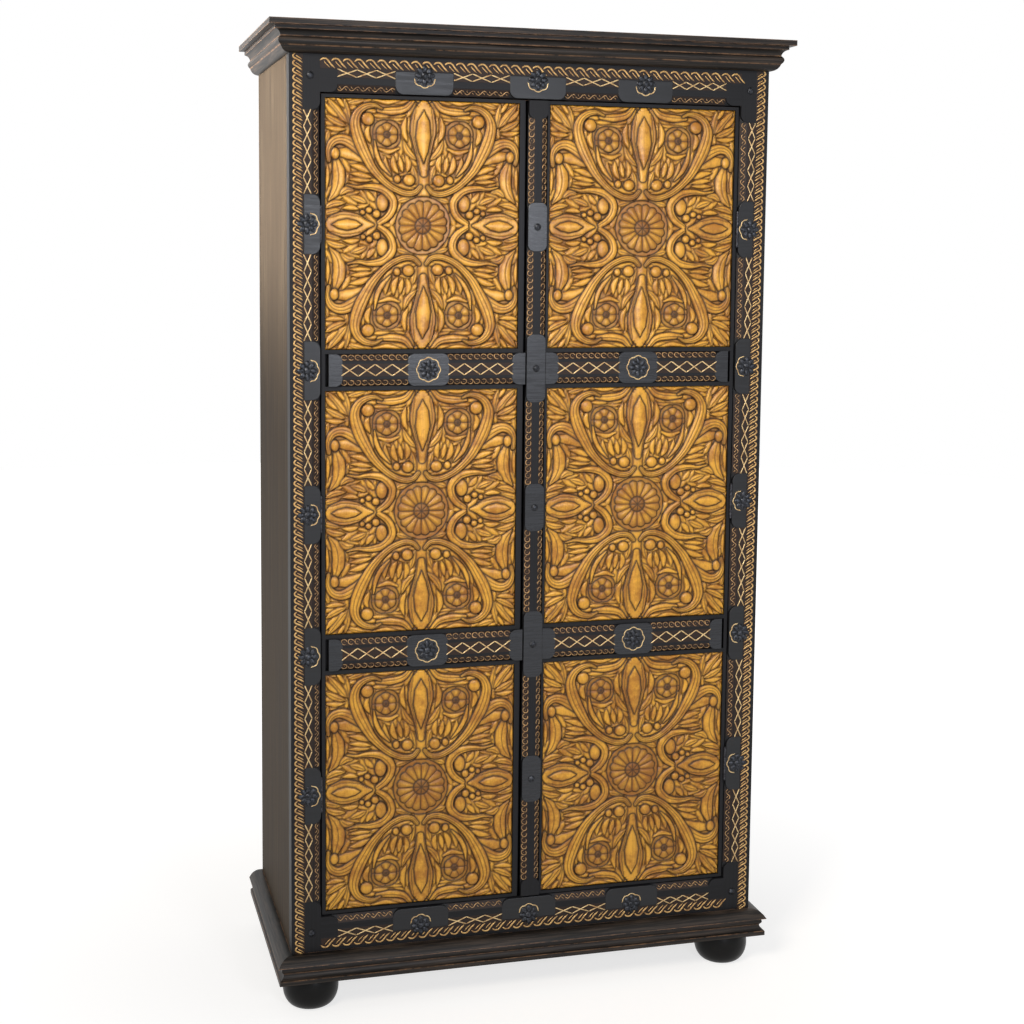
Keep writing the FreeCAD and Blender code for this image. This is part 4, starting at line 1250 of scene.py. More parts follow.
def finish_tree(tree: NodeTree, given: Any, instances: Node) -> None:
    """Ends a geometry tree: instances made real and given their finish.

    Args:
        tree: the tree.
        given: its inputs by name.
        instances: the node that makes them.
    """
    real = add_node(tree, "GeometryNodeRealizeInstances", {"Geometry": instances})
    dressed = add_node(tree, "GeometryNodeSetMaterial", {"Geometry": real, "Material": given["Finish"]})
    add_node(tree, "NodeGroupOutput", {"Geometry": dressed})


def row_tree() -> NodeTree:
    """The tree that fits whole motifs along a straight run.

    Returns:
        The tree, which stretches the pitch a little so that the row ends on a whole motif.
    """
    tree, given = tree_with("Carved row", {
        "Motif": "Object", "Start": "Vector", "Run": "Vector", "Pitch": "Float", "Turn": "Vector",
        "Looseness": "Float", "Seed": "Int", "Finish": "Material"})
    length = add_node(tree, "ShaderNodeVectorMath", {0: given["Run"]}, operation="LENGTH")
    fits = add_node(tree, "ShaderNodeMath", {0: length, 1: given["Pitch"]}, operation="DIVIDE")
    whole = add_node(tree, "ShaderNodeMath", {0: fits}, operation="ROUND")
    count = add_node(tree, "ShaderNodeMath", {0: whole, 1: 1.0}, operation="MAXIMUM")
    share = add_node(tree, "ShaderNodeMath", {0: 1.0, 1: count}, operation="DIVIDE")
    step = add_node(tree, "ShaderNodeVectorMath", {0: given["Run"], "Scale": share}, operation="SCALE")
    first = add_node(tree, "ShaderNodeVectorMath", {
        0: step, 1: (0.5, 0.5, 0.5), 2: given["Start"]}, operation="MULTIPLY_ADD")
    places = add_node(tree, "GeometryNodeMeshLine", {
        "Count": count, "Start Location": first, "Offset": step}, mode="OFFSET")
    stretch = add_node(tree, "ShaderNodeMath", {0: fits, 1: count}, operation="DIVIDE")
    size = add_node(tree, "ShaderNodeCombineXYZ", {"X": stretch, "Y": 1.0, "Z": 1.0})
    minus = add_node(tree, "ShaderNodeMath", {0: given["Looseness"], 1: -1.0}, operation="MULTIPLY")
    swing = add_node(tree, "FunctionNodeRandomValue", {
        2: minus, 3: given["Looseness"], "Seed": given["Seed"]}, data_type="FLOAT")
    tilt = add_node(tree, "ShaderNodeCombineXYZ", {"Y": swing})
    turn = add_node(tree, "ShaderNodeVectorMath", {0: given["Turn"], 1: tilt}, operation="ADD")
    motif = add_node(tree, "GeometryNodeObjectInfo", {"Object": given["Motif"]})
    row = add_node(tree, "GeometryNodeInstanceOnPoints", {
        "Points": places, "Instance": motif.outputs["Geometry"], "Rotation": turn, "Scale": size})
    finish_tree(tree, given, row)
    return tree


def stud_tree() -> NodeTree:
    """The tree that sets a petalled stud on each point of a mesh.

    Returns:
        The tree: petals round a dished boss, with a dome in the middle, facing along -Y.
    """
    tree, given = tree_with("Petalled studs", {
        "Geometry": "Geometry", "Petals": "Int", "Radius": "Float", "Height": "Float", "Dome Share": "Float",
        "Finish": "Material"})
    reach, long, wide, low, dome_reach, boss_reach, boss_rise = (
        add_node(tree, "ShaderNodeMath", {0: given[size], 1: share}, operation="MULTIPLY")
        for size, share in (("Radius", 0.62), ("Radius", 0.4), ("Radius", 0.27), ("Height", 0.62),
                            ("Radius", given["Dome Share"]), ("Radius", 0.72), ("Height", 0.4)))
    circle = add_node(tree, "GeometryNodeMeshCircle", {"Vertices": given["Petals"], "Radius": reach})
    number = add_node(tree, "GeometryNodeInputIndex")
    angle = add_node(tree, "ShaderNodeMath", {0: 2 * math.pi, 1: given["Petals"]}, operation="DIVIDE")
    turn = add_node(tree, "ShaderNodeMath", {0: number, 1: angle}, operation="MULTIPLY")
    way = add_node(tree, "ShaderNodeCombineXYZ", {"Z": turn})
    ball = add_node(tree, "GeometryNodeMeshIcoSphere", {"Radius": 1.0, "Subdivisions": 3})
    smooth = add_node(tree, "GeometryNodeSetShadeSmooth", {"Geometry": ball})
    petal_size = add_node(tree, "ShaderNodeCombineXYZ", {"X": long, "Y": wide, "Z": low})
    petals = add_node(tree, "GeometryNodeInstanceOnPoints", {
        "Points": circle, "Instance": smooth, "Rotation": way, "Scale": petal_size})
    parts = [petals]
    for out, rise in ((dome_reach, given["Height"]), (boss_reach, boss_rise)):
        size = add_node(tree, "ShaderNodeCombineXYZ", {"X": out, "Y": out, "Z": rise})
        parts.append(add_node(tree, "GeometryNodeTransform", {"Geometry": smooth, "Scale": size}))
    stud = add_node(tree, "GeometryNodeJoinGeometry")
    for part in parts:
        feed(tree, stud, {0: part})
    upright = add_node(tree, "GeometryNodeTransform", {
        "Geometry": stud, "Rotation": Euler((math.pi / 2, 0, 0))})
    placed = add_node(tree, "GeometryNodeInstanceOnPoints", {
        "Points": given["Geometry"], "Instance": upright})
    finish_tree(tree, given, placed)
    return tree


def grown(tree: NodeTree, values: dict[str, Any], points: Sequence[Vector] = ()) -> Mesh:
    """Runs a geometry tree and keeps its result as a plain mesh.

    Args:
        tree: the tree.
        values: a value for each named input.
        points: places that the tree starts from.

    Returns:
        The mesh.
    """
    host_mesh = bpy.data.meshes.new("host")
    host_mesh.from_pydata([tuple(point) for point in points], [], [])
    host = put("host", host_mesh)
    modifier = host.modifiers.new("grow", "NODES")
    modifier.node_group = tree
    for item in tree.interface.items_tree:
        if item.in_out == "INPUT" and item.name in values:
            modifier[item.identifier] = values[item.name]
    depsgraph = bpy.context.evaluated_depsgraph_get()
    mesh = bpy.data.meshes.new_from_object(host.evaluated_get(depsgraph), depsgraph=depsgraph)
    host.modifiers.remove(modifier)
    bpy.data.objects.remove(host)
    bpy.data.meshes.remove(host_mesh)
    return mesh


@dataclass(frozen=True)
class Member:
    """A straight bar of the front, with places given along it, in from its outer edge and behind its face."""

    edge: Edge
    low: Vector
    high: Vector

    @property
    def upright(self) -> bool:
        """Whether the member stands up."""
        return self.edge in (Edge.LEFT, Edge.RIGHT)

    @property
    def width(self) -> float:
        """How wide its face is, in millimetres."""
        return (self.high.x - self.low.x if self.upright else self.high.z - self.low.z) / MM

    def place(self, along: float, inset: float, depth: float = 0.0) -> Vector:
        """A place on the member.

        Args:
            along: the world place along it, in metres.
            inset: millimetres in from the outer edge.
            depth: millimetres behind the face.

        Returns:
            The place in metres.
        """
        y, inward = self.low.y + depth * MM, inset * MM
        if self.upright:
            return Vector((self.low.x + inward if self.edge is Edge.LEFT else self.high.x - inward, y, along))
        return Vector((along, y, self.high.z - inward if self.edge is Edge.TOP else self.low.z + inward))


@dataclass(frozen=True)
class Chamfer:
    """A sloped edge of a member, in millimetres, with the margin that its cut ground leaves."""

    width: float
    depth: float = 9.0
    margin: float = 1.5

    @property
    def tilt(self) -> float:
        """How far it leans, in radians."""
        return math.atan2(self.depth, self.width)

    @property
    def slope(self) -> float:
        """The width of the ground that fits on it."""
        return self.width / math.cos(self.tilt) - self.margin


@dataclass(frozen=True)
class Track:
    """A straight run on a member, from first to last in metres along it.

    Inset and depth place its middle line, in millimetres. Tilt is how far the face leans away there towards
    the member's inner edge, in radians.
    """

    member: Member
    first: float
    last: float
    inset: float
    depth: float = 0.0
    tilt: float = 0.0

    def ends(self) -> list[Vector]:
        """Both ends of its middle line."""
        return [self.member.place(along, self.inset, self.depth) for along in (self.first, self.last)]

    def turn(self) -> Matrix:
        """The turn that lays a motif along it."""
        lean = Matrix.Rotation(self.tilt, 3, "X")
        return Matrix.Rotation(math.radians(self.member.edge.value), 3, "Y") @ lean


@dataclass(frozen=True)
class Repeat:
    """A motif and its pitch in millimetres, its finish, and how unevenly it stands, in radians."""

    motif: Object
    pitch: float
    finish: Material
    looseness: float = 0.03


@dataclass
class Carver:
    """Lays rows, grounds and plates of one body, and gathers them by finish."""

    finishes: Finishes
    rows: NodeTree
    plates: Material
    seed: int = SEED
    sunk: float = 0.2
    ground_rise: float = 0.3
    ground_slope: float = 0.6
    plate_rise: float = 0.6
    plate_edge: float = 0.18
    plate_slope: float = 0.8
    stop_steps: int = 7
    lone_pitch: float = 24.5
    gathered: dict[str, list[Mesh]] = field(default_factory=dict)

    def keep(self, mesh: Mesh, finish: Material) -> None:
        """Gathers a mesh under its finish."""
        self.gathered.setdefault(finish.name, []).append(mesh)

    def row(self, track: Track, repeat: Repeat) -> None:
        """Lays one row of a motif.

        Args:
            track: the run that it follows.
            repeat: the motif.
        """
        start, end = track.ends()
        self.seed += 1
        self.keep(grown(self.rows, {
            "Motif": repeat.motif, "Start": start, "Run": end - start, "Pitch": repeat.pitch * MM,
            "Turn": Vector(track.turn().to_euler()), "Looseness": repeat.looseness, "Seed": self.seed,
            "Finish": repeat.finish}), repeat.finish)

    def lone(self, member: Member, motif: Object, along: float, inset: float) -> None:
        """Lays one gilded motif by itself.

        Args:
            member: the bar that carries it.
            motif: the shape.
            along: its place along the member, in metres.
            inset: millimetres in from the outer edge.
        """
        reach = self.lone_pitch * MM / 2
        track = Track(member, along - reach, along + reach, inset)
        self.row(track, Repeat(motif, self.lone_pitch, self.finishes.gilt, 0.0))

    def band(self, track: Track, repeat: Repeat, width: float) -> None:
        """Lays a row on a dark cut ground.

        Args:
            track: the run that it follows.
            repeat: the motif.
            width: the ground's width in millimetres.
        """
        start, end = track.ends()
        turn = Matrix.Translation((start + end) / 2) @ track.turn().to_4x4()
        half_x, half_z = abs(track.last - track.first) / 2, width * MM / 2
        rings = []
        for depth, trim in ((self.sunk * MM, 0.0), (-self.ground_rise * MM, self.ground_slope * MM)):
            corners = ((-1, -1), (1, -1), (1, 1), (-1, 1))
            rings.append([turn @ Vector((a * (half_x - trim), depth, b * (half_z - trim)))
                          for a, b in corners])
        shape = bmesh.new()
        skin(shape, rings)
        self.keep(as_mesh(shape, "ground", self.finishes.cut_ground), self.finishes.cut_ground)
        self.row(track, repeat)

    def plate(self, member: Member, limits: Point, insets: Point, stops: Point,
              rounded: tuple[bool, bool] = (True, True)) -> None:
        """Lays the smooth plate left plain round a stud or at an end, with round stops where chamfers end.

        Args:
            member: the bar that carries it.
            limits: where the plate starts and ends along the member, in metres.
            insets: millimetres from the member's outer edge to its two long edges.
            stops: the radius of the stops at each of those edges, zero where it ends square.
            rounded: whether its start and its end have those stops.
        """
        def outline(trim: float) -> list[Point]:
            """The plate's outline.

            Args:
                trim: how far it is drawn in.

            Returns:
                Places along and across the member, in millimetres.
            """
            corners = ((0, 0), (1, 0), (1, 1), (0, 1))
            places = []
            for number, (end, edge) in enumerate(corners):
                radius = max(stops[edge] - trim, 0.0) if rounded[end] else 0.0
                way, inward = 1 - 2 * end, 1 - 2 * edge
                along = limits[end] / MM + way * (trim + radius)
                across = insets[edge] + inward * (trim + radius)
                turns = np.linspace(0, math.pi / 2, self.stop_steps) if radius else np.zeros(1)
                for turn in turns if number % 2 == 0 else turns[::-1]:
                    places.append((along - way * radius * math.cos(turn),
                                   across - inward * radius * math.sin(turn)))
            return places

        rings = []
        for trim, rise in ((0.0, -self.sunk), (0.0, self.plate_edge), (self.plate_slope, self.plate_rise)):
            rings.append([member.place(along * MM, across, -rise) for along, across in outline(trim)])
        shape = bmesh.new()
        skin(shape, rings)
        self.keep(as_mesh(shape, "plate", self.plates), self.plates)

    def finish(self, prefix: str, body: Body) -> None:
        """Joins what was gathered into one piece for each finish.

        Args:
            prefix: the start of the pieces' names.
            body: the body that carries them.
        """
        finishes = self.finishes
        carved = {finishes.gilt.name: "gilding", finishes.rope_gilt.name: "rope",
                  finishes.dim_gilt.name: "worn_gilding"}
        flat = {finishes.cut_ground.name: "cut_ground", self.plates.name: "plates"}
        for name, meshes in self.gathered.items():
            label, slot = (carved[name], "carved_wood") if name in carved else (flat[name], "dark_wood")
            new_piece(f"{prefix}_{label}", joined(label, meshes), body)


ROSETTE_INSET = 37.0
GROUND_MARGIN = 3.0
BARS = ("lower_bar", "upper_bar")


def stud_heights() -> list[float]:
    """The five heights of the stiles' rosettes, at the middles of panels and bars."""
    names = ("bottom_panel", "lower_bar", "middle_panel", "upper_bar", "top_panel")
    return [box_middle(f"left_door_{name}").z for name in names]


def stud_middles() -> list[float]:
    """The three places of the rails' rosettes, at the middles of the doors' panels and between them."""
    left, right = (box_middle(f"{body.value}_middle_panel").x for body in DOORS)
    return [left, 0.0, right]


def frame_members() -> list[Member]:
    """The face frame's members, as far as they show between base and cornice.

    Returns:
        The left and right stile, then the top and bottom rail.
    """
    names = {Edge.LEFT: "frame_left_stile", Edge.RIGHT: "frame_right_stile", Edge.TOP: "frame_top_rail",
             Edge.BOTTOM: "frame_bottom_rail"}
    floor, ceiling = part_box("base_front")[1].z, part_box("cornice_front")[0].z
    members = []
    for edge, name in names.items():
        low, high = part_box(name)
        low.z, high.z = max(low.z, floor), min(high.z, ceiling)
        members.append(Member(edge, low, high))
    return members


@dataclass
class FaceFrame:
    """The carved bands of the face frame: rope at the outer edge, lozenges, a vine on the chamfer."""

    finishes: Finishes
    motifs: Motifs
    rows: NodeTree
    rope_inset: float = 18.5
    rope_margin: float = 2.0
    diamond_inset: float = 38.0
    chamfer: Chamfer = Chamfer(17.0)
    cartouche_half: float = 46.0
    corner_plain: float = 20.0
    ring_radius: float = 25.0
    ring_angles: Point = (195.0, 345.0)
    plate_inset: float = 30.5

    def build(self) -> None:
        """Carves every member."""
        carver = Carver(self.finishes, self.rows, self.finishes.frame_plate)
        left, right, top, bottom = frame_members()
        for stile in (left, right):
            opening = (bottom.high.z, top.low.z)
            self.carve(carver, stile, (stile.low.z, stile.high.z), opening, stud_heights())
        for rail in (top, bottom):
            opening = (left.high.x, right.low.x)
            self.carve(carver, rail, opening, opening, stud_middles())
        carver.finish("face_frame", Body.CARCASS)

    def carve(self, carver: Carver, member: Member, rope_run: Point, opening: Point,
              studs: Sequence[float]) -> None:
        """Carves one member.

        Args:
            carver: what lays the rows.
            member: the stile or rail.
            rope_run: where its rope starts and ends, in metres along it.
            opening: where the door opening starts and ends along it.
            studs: the places of its rosettes along it.
        """
        motifs, chamfer = self.motifs, self.chamfer
        pitch = motifs.strand_pitch if member.upright else motifs.hook_pitch
        hand = 1.0 if member.edge in (Edge.RIGHT, Edge.TOP) else -1.0
        rope = Repeat(motifs.strand(pitch, hand), pitch, self.finishes.rope_gilt)
        lozenges = Repeat(motifs.diamond(motifs.diamond_height), motifs.diamond_length, self.finishes.gilt)
        vine = Repeat(motifs.vine(), motifs.vine_length, self.finishes.dim_gilt)
        carver.band(Track(member, *rope_run, self.rope_inset), rope, motifs.band + self.rope_margin)
        plain = self.cartouche_half * MM
        corner = self.corner_plain * MM - plain
        stops = [opening[0] + corner, *sorted(studs), opening[1] - corner]
        chamfer_inset = member.width - chamfer.width / 2
        for before, after in zip(stops, stops[1:]):
            first, last = before + plain, after - plain
            if last - first < 2 * motifs.diamond_height * MM:
                continue
            run = (first + chamfer.width * MM, last - chamfer.width * MM)
            flat = Track(member, *run, self.diamond_inset)
            carver.band(flat, lozenges, motifs.diamond_height + GROUND_MARGIN)
            sloped = Track(member, *run, chamfer_inset, chamfer.depth / 2, chamfer.tilt)
            carver.band(sloped, vine, chamfer.slope)
        ring = motifs.scallops(*self.ring_angles, self.ring_radius)
        reach = (self.cartouche_half + chamfer.width) * MM
        for place in studs:
            insets = (self.plate_inset, member.width)
            carver.plate(member, (place - reach, place + reach), insets, (0.0, chamfer.width))
            carver.lone(member, ring, place, ROSETTE_INSET)


@dataclass
class DoorBands:
    """The carved bands of a door: bars with lozenges between ringed chamfers, and the meeting strip."""

    finishes: Finishes
    motifs: Motifs
    rows: NodeTree
    seed: int = SEED + 100
    bar_chamfer: Chamfer = Chamfer(16.0)
    strip_chamfer: Chamfer = Chamfer(14.0)
    stop_share: float = 0.8
    ring_looseness: float = 0.3
    end_plain: float = 14.0
    cartouche_half: float = 30.0
    strip_cartouche_half: float = 39.0
    strip_crossing_half: float = 61.0
    strip_end_plain: float = 25.0
    ring_radius: float = 25.5

    def build(self) -> None:
        """Carves both doors."""
        for body in DOORS:
            # The doors' plates take the paler finish, with its painted sheen.
            carver = Carver(self.finishes, self.rows, self.finishes.plate, self.seed)
            for name in BARS:
                self.carve_bar(carver, *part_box(f"{body.value}_{name}"))
            if body is Body.RIGHT_DOOR:
                self.carve_strip(carver, *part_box("right_door_meeting_strip"))
            carver.finish(body.value, body)

    def runs_between(self, stops: Sequence[Point], chamfer: Chamfer) -> list[Point]:
        """The carved runs between plain stretches of a member.

        Args:
            stops: the middle of each stretch in metres and half its length in millimetres.
            chamfer: the chamfer, whose stops shorten the runs.

        Returns:
            The start and end of each run, in metres.
        """
        room = self.stop_share * chamfer.width * MM
        return [(before + plain * MM + room, after - next_plain * MM - room)
                for (before, plain), (after, next_plain) in zip(stops, stops[1:])]

    def carve_rings(self, carver: Carver, members: Sequence[Member], runs: Sequence[Point],
                    chamfer: Chamfer) -> None:
        """Carves rings along outer chamfers.

        Args:
            carver: what lays the rows.
            members: a member for each chamfer.
            runs: where the rings start and end along it.
            chamfer: the chamfer's size.
        """
        motif, pitch = self.motifs.ring(), self.motifs.ring_pitch
        rings = Repeat(motif, pitch, self.finishes.dim_gilt, self.ring_looseness)
        for member in members:
            for run in runs:
                track = Track(member, *run, chamfer.width / 2, chamfer.depth / 2, -chamfer.tilt)
                carver.band(track, rings, chamfer.slope)

    def carve_bar(self, carver: Carver, low: Vector, high: Vector) -> None:
        """Carves one bar.

        Args:
            carver: what lays the rows.
            low: the bar's lowest corner.
            high: its highest corner.
        """
        motifs, chamfer = self.motifs, self.bar_chamfer
        members = [Member(edge, low, high) for edge in (Edge.TOP, Edge.BOTTOM)]
        bar, middle = members[0], (low.x + high.x) / 2
        stops = ((low.x, self.end_plain), (middle, self.cartouche_half), (high.x, self.end_plain))
        runs = self.runs_between(stops, chamfer)
        self.carve_rings(carver, members, runs, chamfer)
        tall = motifs.bar_diamond_height
        lozenges = Repeat(motifs.diamond(tall), motifs.diamond_length, self.finishes.gilt)
        for run in runs:
            carver.band(Track(bar, *run, bar.width / 2), lozenges, tall + GROUND_MARGIN)
        reach = (self.cartouche_half + chamfer.width) * MM
        end_reach = (self.end_plain + chamfer.width) * MM
        plates = (((middle - reach, middle + reach), (True, True)),
                  ((low.x, low.x + end_reach), (False, True)),
                  ((high.x - end_reach, high.x), (True, False)))
        for limits, rounded in plates:
            carver.plate(bar, limits, (0.0, bar.width), (chamfer.width,) * 2, rounded)
        carver.lone(bar, motifs.scallops(0.0, FULL_TURN, self.ring_radius), middle, bar.width / 2)

    def carve_strip(self, carver: Carver, low: Vector, high: Vector) -> None:
        """Carves the chamfers of the meeting strip.

        Args:
            carver: what lays the rows.
            low: the strip's lowest corner.
            high: its highest corner.
        """
        chamfer = self.strip_chamfer
        members = [Member(edge, low, high) for edge in (Edge.LEFT, Edge.RIGHT)]
        halves = [self.strip_cartouche_half, self.strip_crossing_half] * 2 + [self.strip_cartouche_half]
        marks = list(zip(stud_heights(), halves))
        for place, half in marks:
            reach = (half + chamfer.width) * MM
            limits, insets = (place - reach, place + reach), (0.0, members[0].width)
            carver.plate(members[0], limits, insets, (chamfer.width,) * 2)
        stops = [(low.z, self.strip_end_plain), *marks, (high.z, self.strip_end_plain)]
        self.carve_rings(carver, members, self.runs_between(stops, chamfer), chamfer)


@dataclass
class Studs:
    """Iron rosettes on the frame and bars, and plain domes at the corners and down the meeting strip."""

    finishes: Finishes
    radius: float = 22.0
    height: float = 6.0
    petals: int = 8
    dome_share: float = 0.4
    nail_radius: float = 8.0
    nail_height: float = 5.0
    nail_petals: int = 12
    nail_dome_share: float = 0.9
    nail_inset: float = 44.0

    def build(self) -> None:
        """Sets the studs of each body."""
        tree = stud_tree()
        left, right, top, bottom = frame_members()
        roses = [stile.place(z, ROSETTE_INSET) for stile in (left, right) for z in stud_heights()]
        roses += [rail.place(x, ROSETTE_INSET) for rail in (top, bottom) for x in stud_middles()]
        ends = (left.low.z + self.nail_inset * MM, left.high.z - self.nail_inset * MM)
        nails = [stile.place(z, self.nail_inset) for stile in (left, right) for z in ends]
        self.set_studs(tree, Body.CARCASS, "frame_studs", roses, nails)
        strip = front_middle("right_door_meeting_strip")
        for body in DOORS:
            roses = [front_middle(f"{body.value}_{name}") for name in BARS]
            nails = [Vector((strip.x, strip.y, z)) for z in stud_heights() if body is Body.RIGHT_DOOR]
            self.set_studs(tree, body, f"{body.value}_studs", roses, nails)

    def set_studs(self, tree: NodeTree, body: Body, node: str, roses: list[Vector],
                  nails: list[Vector]) -> None:
        """Sets one body's studs as one piece.

        Args:
            tree: the stud tree.
            body: the body that carries them.
            node: the node that they stand for.
            roses: places of the petalled studs.
            nails: places of the plain domes.
        """
        kinds = ((roses, self.petals, self.radius, self.height, self.dome_share),
                 (nails, self.nail_petals, self.nail_radius, self.nail_height, self.nail_dome_share))
        meshes = [grown(tree, {
            "Petals": petals, "Radius": radius * MM, "Height": height * MM, "Dome Share": share,
            "Finish": self.finishes.iron}, places)
            for places, petals, radius, height, share in kinds if places]
        new_piece(f"{node}_iron", joined(node, meshes), body, [node])


# Mouldings and feet


@dataclass(frozen=True)
class Stretch:
    """One stretch of a moulding's profile: how far it comes out and rises, and how much it bulges."""

    out: float
    rise: float
    bulge_share: float = 0.0


CORNICE_REACH = 0.0
CORNICE = (
    Stretch(20.0, 15.0, 0.18), Stretch(0.0, 18.0, 0.3), Stretch(13.0, 13.0, -0.18), Stretch(0.0, 8.0),
    Stretch(13.0, 0.0), Stretch(0.0, 12.0))
BASE_REACH = 30.0
BASE = (
    Stretch(0.0, 10.0), Stretch(-10.0, 14.0, -0.18), Stretch(0.0, 16.0, 0.3), Stretch(13.0, 0.0),
    Stretch(-33.0, 18.0, 0.18))


@dataclass
class Moulding:
    """A moulding mitred round the front and both sides, in three lengths."""

    finishes: Finishes
    name: str
    start_reach: float
    stretches: tuple[Stretch, ...]
    arc_steps: int = 6
    arris_mm: float = 1.6
    arris_share: float = 0.3
    smooth_to: float = 32.0

    def profile(self) -> list[Place]:
        """The outer profile from the bottom up.

        Returns:
            Reach and height in millimetres, and how strongly each place carries the arris line of rubbed wear
            and painted highlight.
        """
        places = [(self.start_reach, 0.0, 0.0)]
        for stretch in self.stretches:
            reach, height, _ = places[-1]
            length = math.hypot(stretch.out, stretch.rise)
            normal = (stretch.rise / length, -stretch.out / length)
            margin = min(self.arris_mm / length, self.arris_share)
            shares = [margin, *np.linspace(margin, 1 - margin, self.arc_steps)[1:-1], 1 - margin, 1.0]
            for share in shares:
                bulge = 4 * stretch.bulge_share * length * share * (1 - share)
                places.append((reach + stretch.out * share + normal[0] * bulge,
                               height + stretch.rise * share + normal[1] * bulge, float(share == 1.0)))
        return places

    def build(self) -> None:
        """Makes the three lengths and their mitres."""
        profile = self.profile()
        nodes = {side: f"{self.name}_{side}" for side in ("front", "left", "right")}
        low = min(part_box(nodes["left"])[0].z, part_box(nodes["front"])[0].z)
        left_face, right_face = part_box("left_side")[0].x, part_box("right_side")[1].x
        front_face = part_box("frame_left_stile")[0].y
        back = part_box(nodes["left"])[1].y

        def corner(path: str, reach: float, height: float) -> Vector:
            """One place on the swept profile.

            Args:
                path: which corner of the plan it follows.
                reach: millimetres out from the body.
                height: millimetres up.

            Returns:
                The place in metres.
            """
            x = left_face - reach * MM if "left" in path else right_face + reach * MM
            y = front_face - reach * MM if "front" in path else back
            return Vector((x, y, low + height * MM))

        inner = [(0.0, profile[-1][1], 0.0), (0.0, 0.0, 0.0)]
        ring = [*profile, *(place for place in inner if place[:2] not in (profile[0][:2], profile[-1][:2]))]
        runs = {"left": ("left back", "left front"), "front": ("left front", "right front"),
                "right": ("right front", "right back")}
        for side, paths in runs.items():
            shape = bmesh.new()
            # The arris attribute carries the pale lines: partly rubbed wear, partly painted highlight.
            arris = shape.verts.layers.float.new("arris")
            rows = skin(shape, [[corner(path, reach, height) for reach, height, _ in ring] for path in paths])
            for row in rows:
                for vert, (_, _, worn) in zip(row, ring):
                    vert[arris] = worn
            mesh = as_mesh(shape, nodes[side], self.finishes.moulding, self.smooth_to)
            new_piece(f"{nodes[side]}_run", mesh, Body.CARCASS, [nodes[side]])


@dataclass
class BunFeet:
    """Four turned bun feet."""

    finishes: Finishes
    radius: float = 62.0
    sole_radius: float = 34.0
    neck_radius: float = 47.0
    belly_height: float = 42.0
    height: float = 77.0
    rounds: int = 72
    rings: int = 26
    smooth_to: float = 50.0

    def reach(self, z: float) -> float:
        """The foot's radius at a height.

        Args:
            z: the height in millimetres.

        Returns:
            The radius in millimetres.
        """
        below = z < self.belly_height
        end_radius = self.sole_radius if below else self.neck_radius
        share = (z - self.belly_height) / (self.belly_height if below else self.height - self.belly_height)
        return end_radius + (self.radius - end_radius) * math.sqrt(1 - share ** 2)

    def build(self) -> None:
        """Turns each foot where its node stands."""
        turns = [2 * math.pi * number / self.rounds for number in range(self.rounds)]
        steps = [math.pi * step / self.rings for step in range(self.rings + 1)]
        heights = [self.height * (1 - math.cos(step)) / 2 for step in steps]
        for name in ("foot_front_left", "foot_front_right", "foot_back_left", "foot_back_right"):
            middle, floor = box_middle(name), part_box(name)[0].z
            rings = []
            for z in heights:
                out = self.reach(z) * MM
                rings.append([
                    (middle.x + out * math.cos(turn), middle.y + out * math.sin(turn), floor + z * MM)
                    for turn in turns])
            shape = bmesh.new()
            skin(shape, rings)
            mesh = as_mesh(shape, name, self.finishes.foot, self.smooth_to)
            new_piece(f"{name}_turned", mesh, Body.CARCASS, [name])


# Finishes of the parts that keep their own shape


@dataclass
class PlainParts:
    """Gives every part that keeps its own shape its finish."""

    finishes: Finishes

    def build(self) -> None:
        """Dresses the nodes, each by the first word that its name holds."""
        looks = self.finishes
        by_words = (
            ("hinge_leaves hinge_pins strike", looks.steel), ("catch_magnets", looks.plastic),
            ("studs", looks.iron), ("panel", looks.gold), ("foot_blocks", looks.inner_across),
            ("foot_", looks.foot), ("cornice", looks.moulding), ("base_back_rail", looks.frame_across),
            ("base_", looks.moulding),
            ("left_side right_side", looks.side), ("back_boards", looks.inner_up),
            ("shelf_cleats", looks.inner_deep), ("shelf floor_board", looks.inner_across),
            ("top_board", looks.frame_across),
            ("door_stop", looks.inner_across), ("meeting_strip stile", looks.frame_up),
            ("bar rail", looks.frame_across))
        for name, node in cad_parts.items():
            finish = next(found for words, found in by_words if any(word in name for word in words.split()))
            node.data.materials.clear()
            node.data.materials.append(finish)
        log.info("%d parts dressed", len(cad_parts))


# Floor, light and camera


def seen_rays(tree: NodeTree) -> Node:
    """One for rays that show the background itself: to the camera, by reflection or through glass.

    Args:
        tree: the material's or the world's tree.

    Returns:
        The node, which gives zero for every other ray.
    """
    path = add_node(tree, "ShaderNodeLightPath").outputs
    mirrored = add_node(tree, "ShaderNodeMath", {
        0: path["Is Camera Ray"], 1: path["Is Glossy Ray"]}, operation="MAXIMUM")
    return add_node(tree, "ShaderNodeMath", {
        0: mirrored, 1: path["Is Transmission Ray"]}, operation="MAXIMUM")


@dataclass(frozen=True)
class Lamp:
    """A square lamp: its place, target and size in metres, its spread in degrees, its power in watts."""

    name: str
    place: Place
    target: Place
    size: float
    spread: float
    power: float
    colour: str


LAMPS = (
    Lamp("key", (-2.8, -3.2, 3.7), (0.0, -0.2, 1.5), 1.5, 46, 17.5, "#fff6e8"),
    Lamp("sheen", (0.42, -3.8, 1.85), (0.0, -0.2, 1.5), 0.7, 120, 18.0, "#eef3ff"),
    Lamp("side", (-2.6, 0.6, 2.3), (-0.55, 0.05, 2.0), 0.9, 16, 11.0, "#fffaf2"),
)


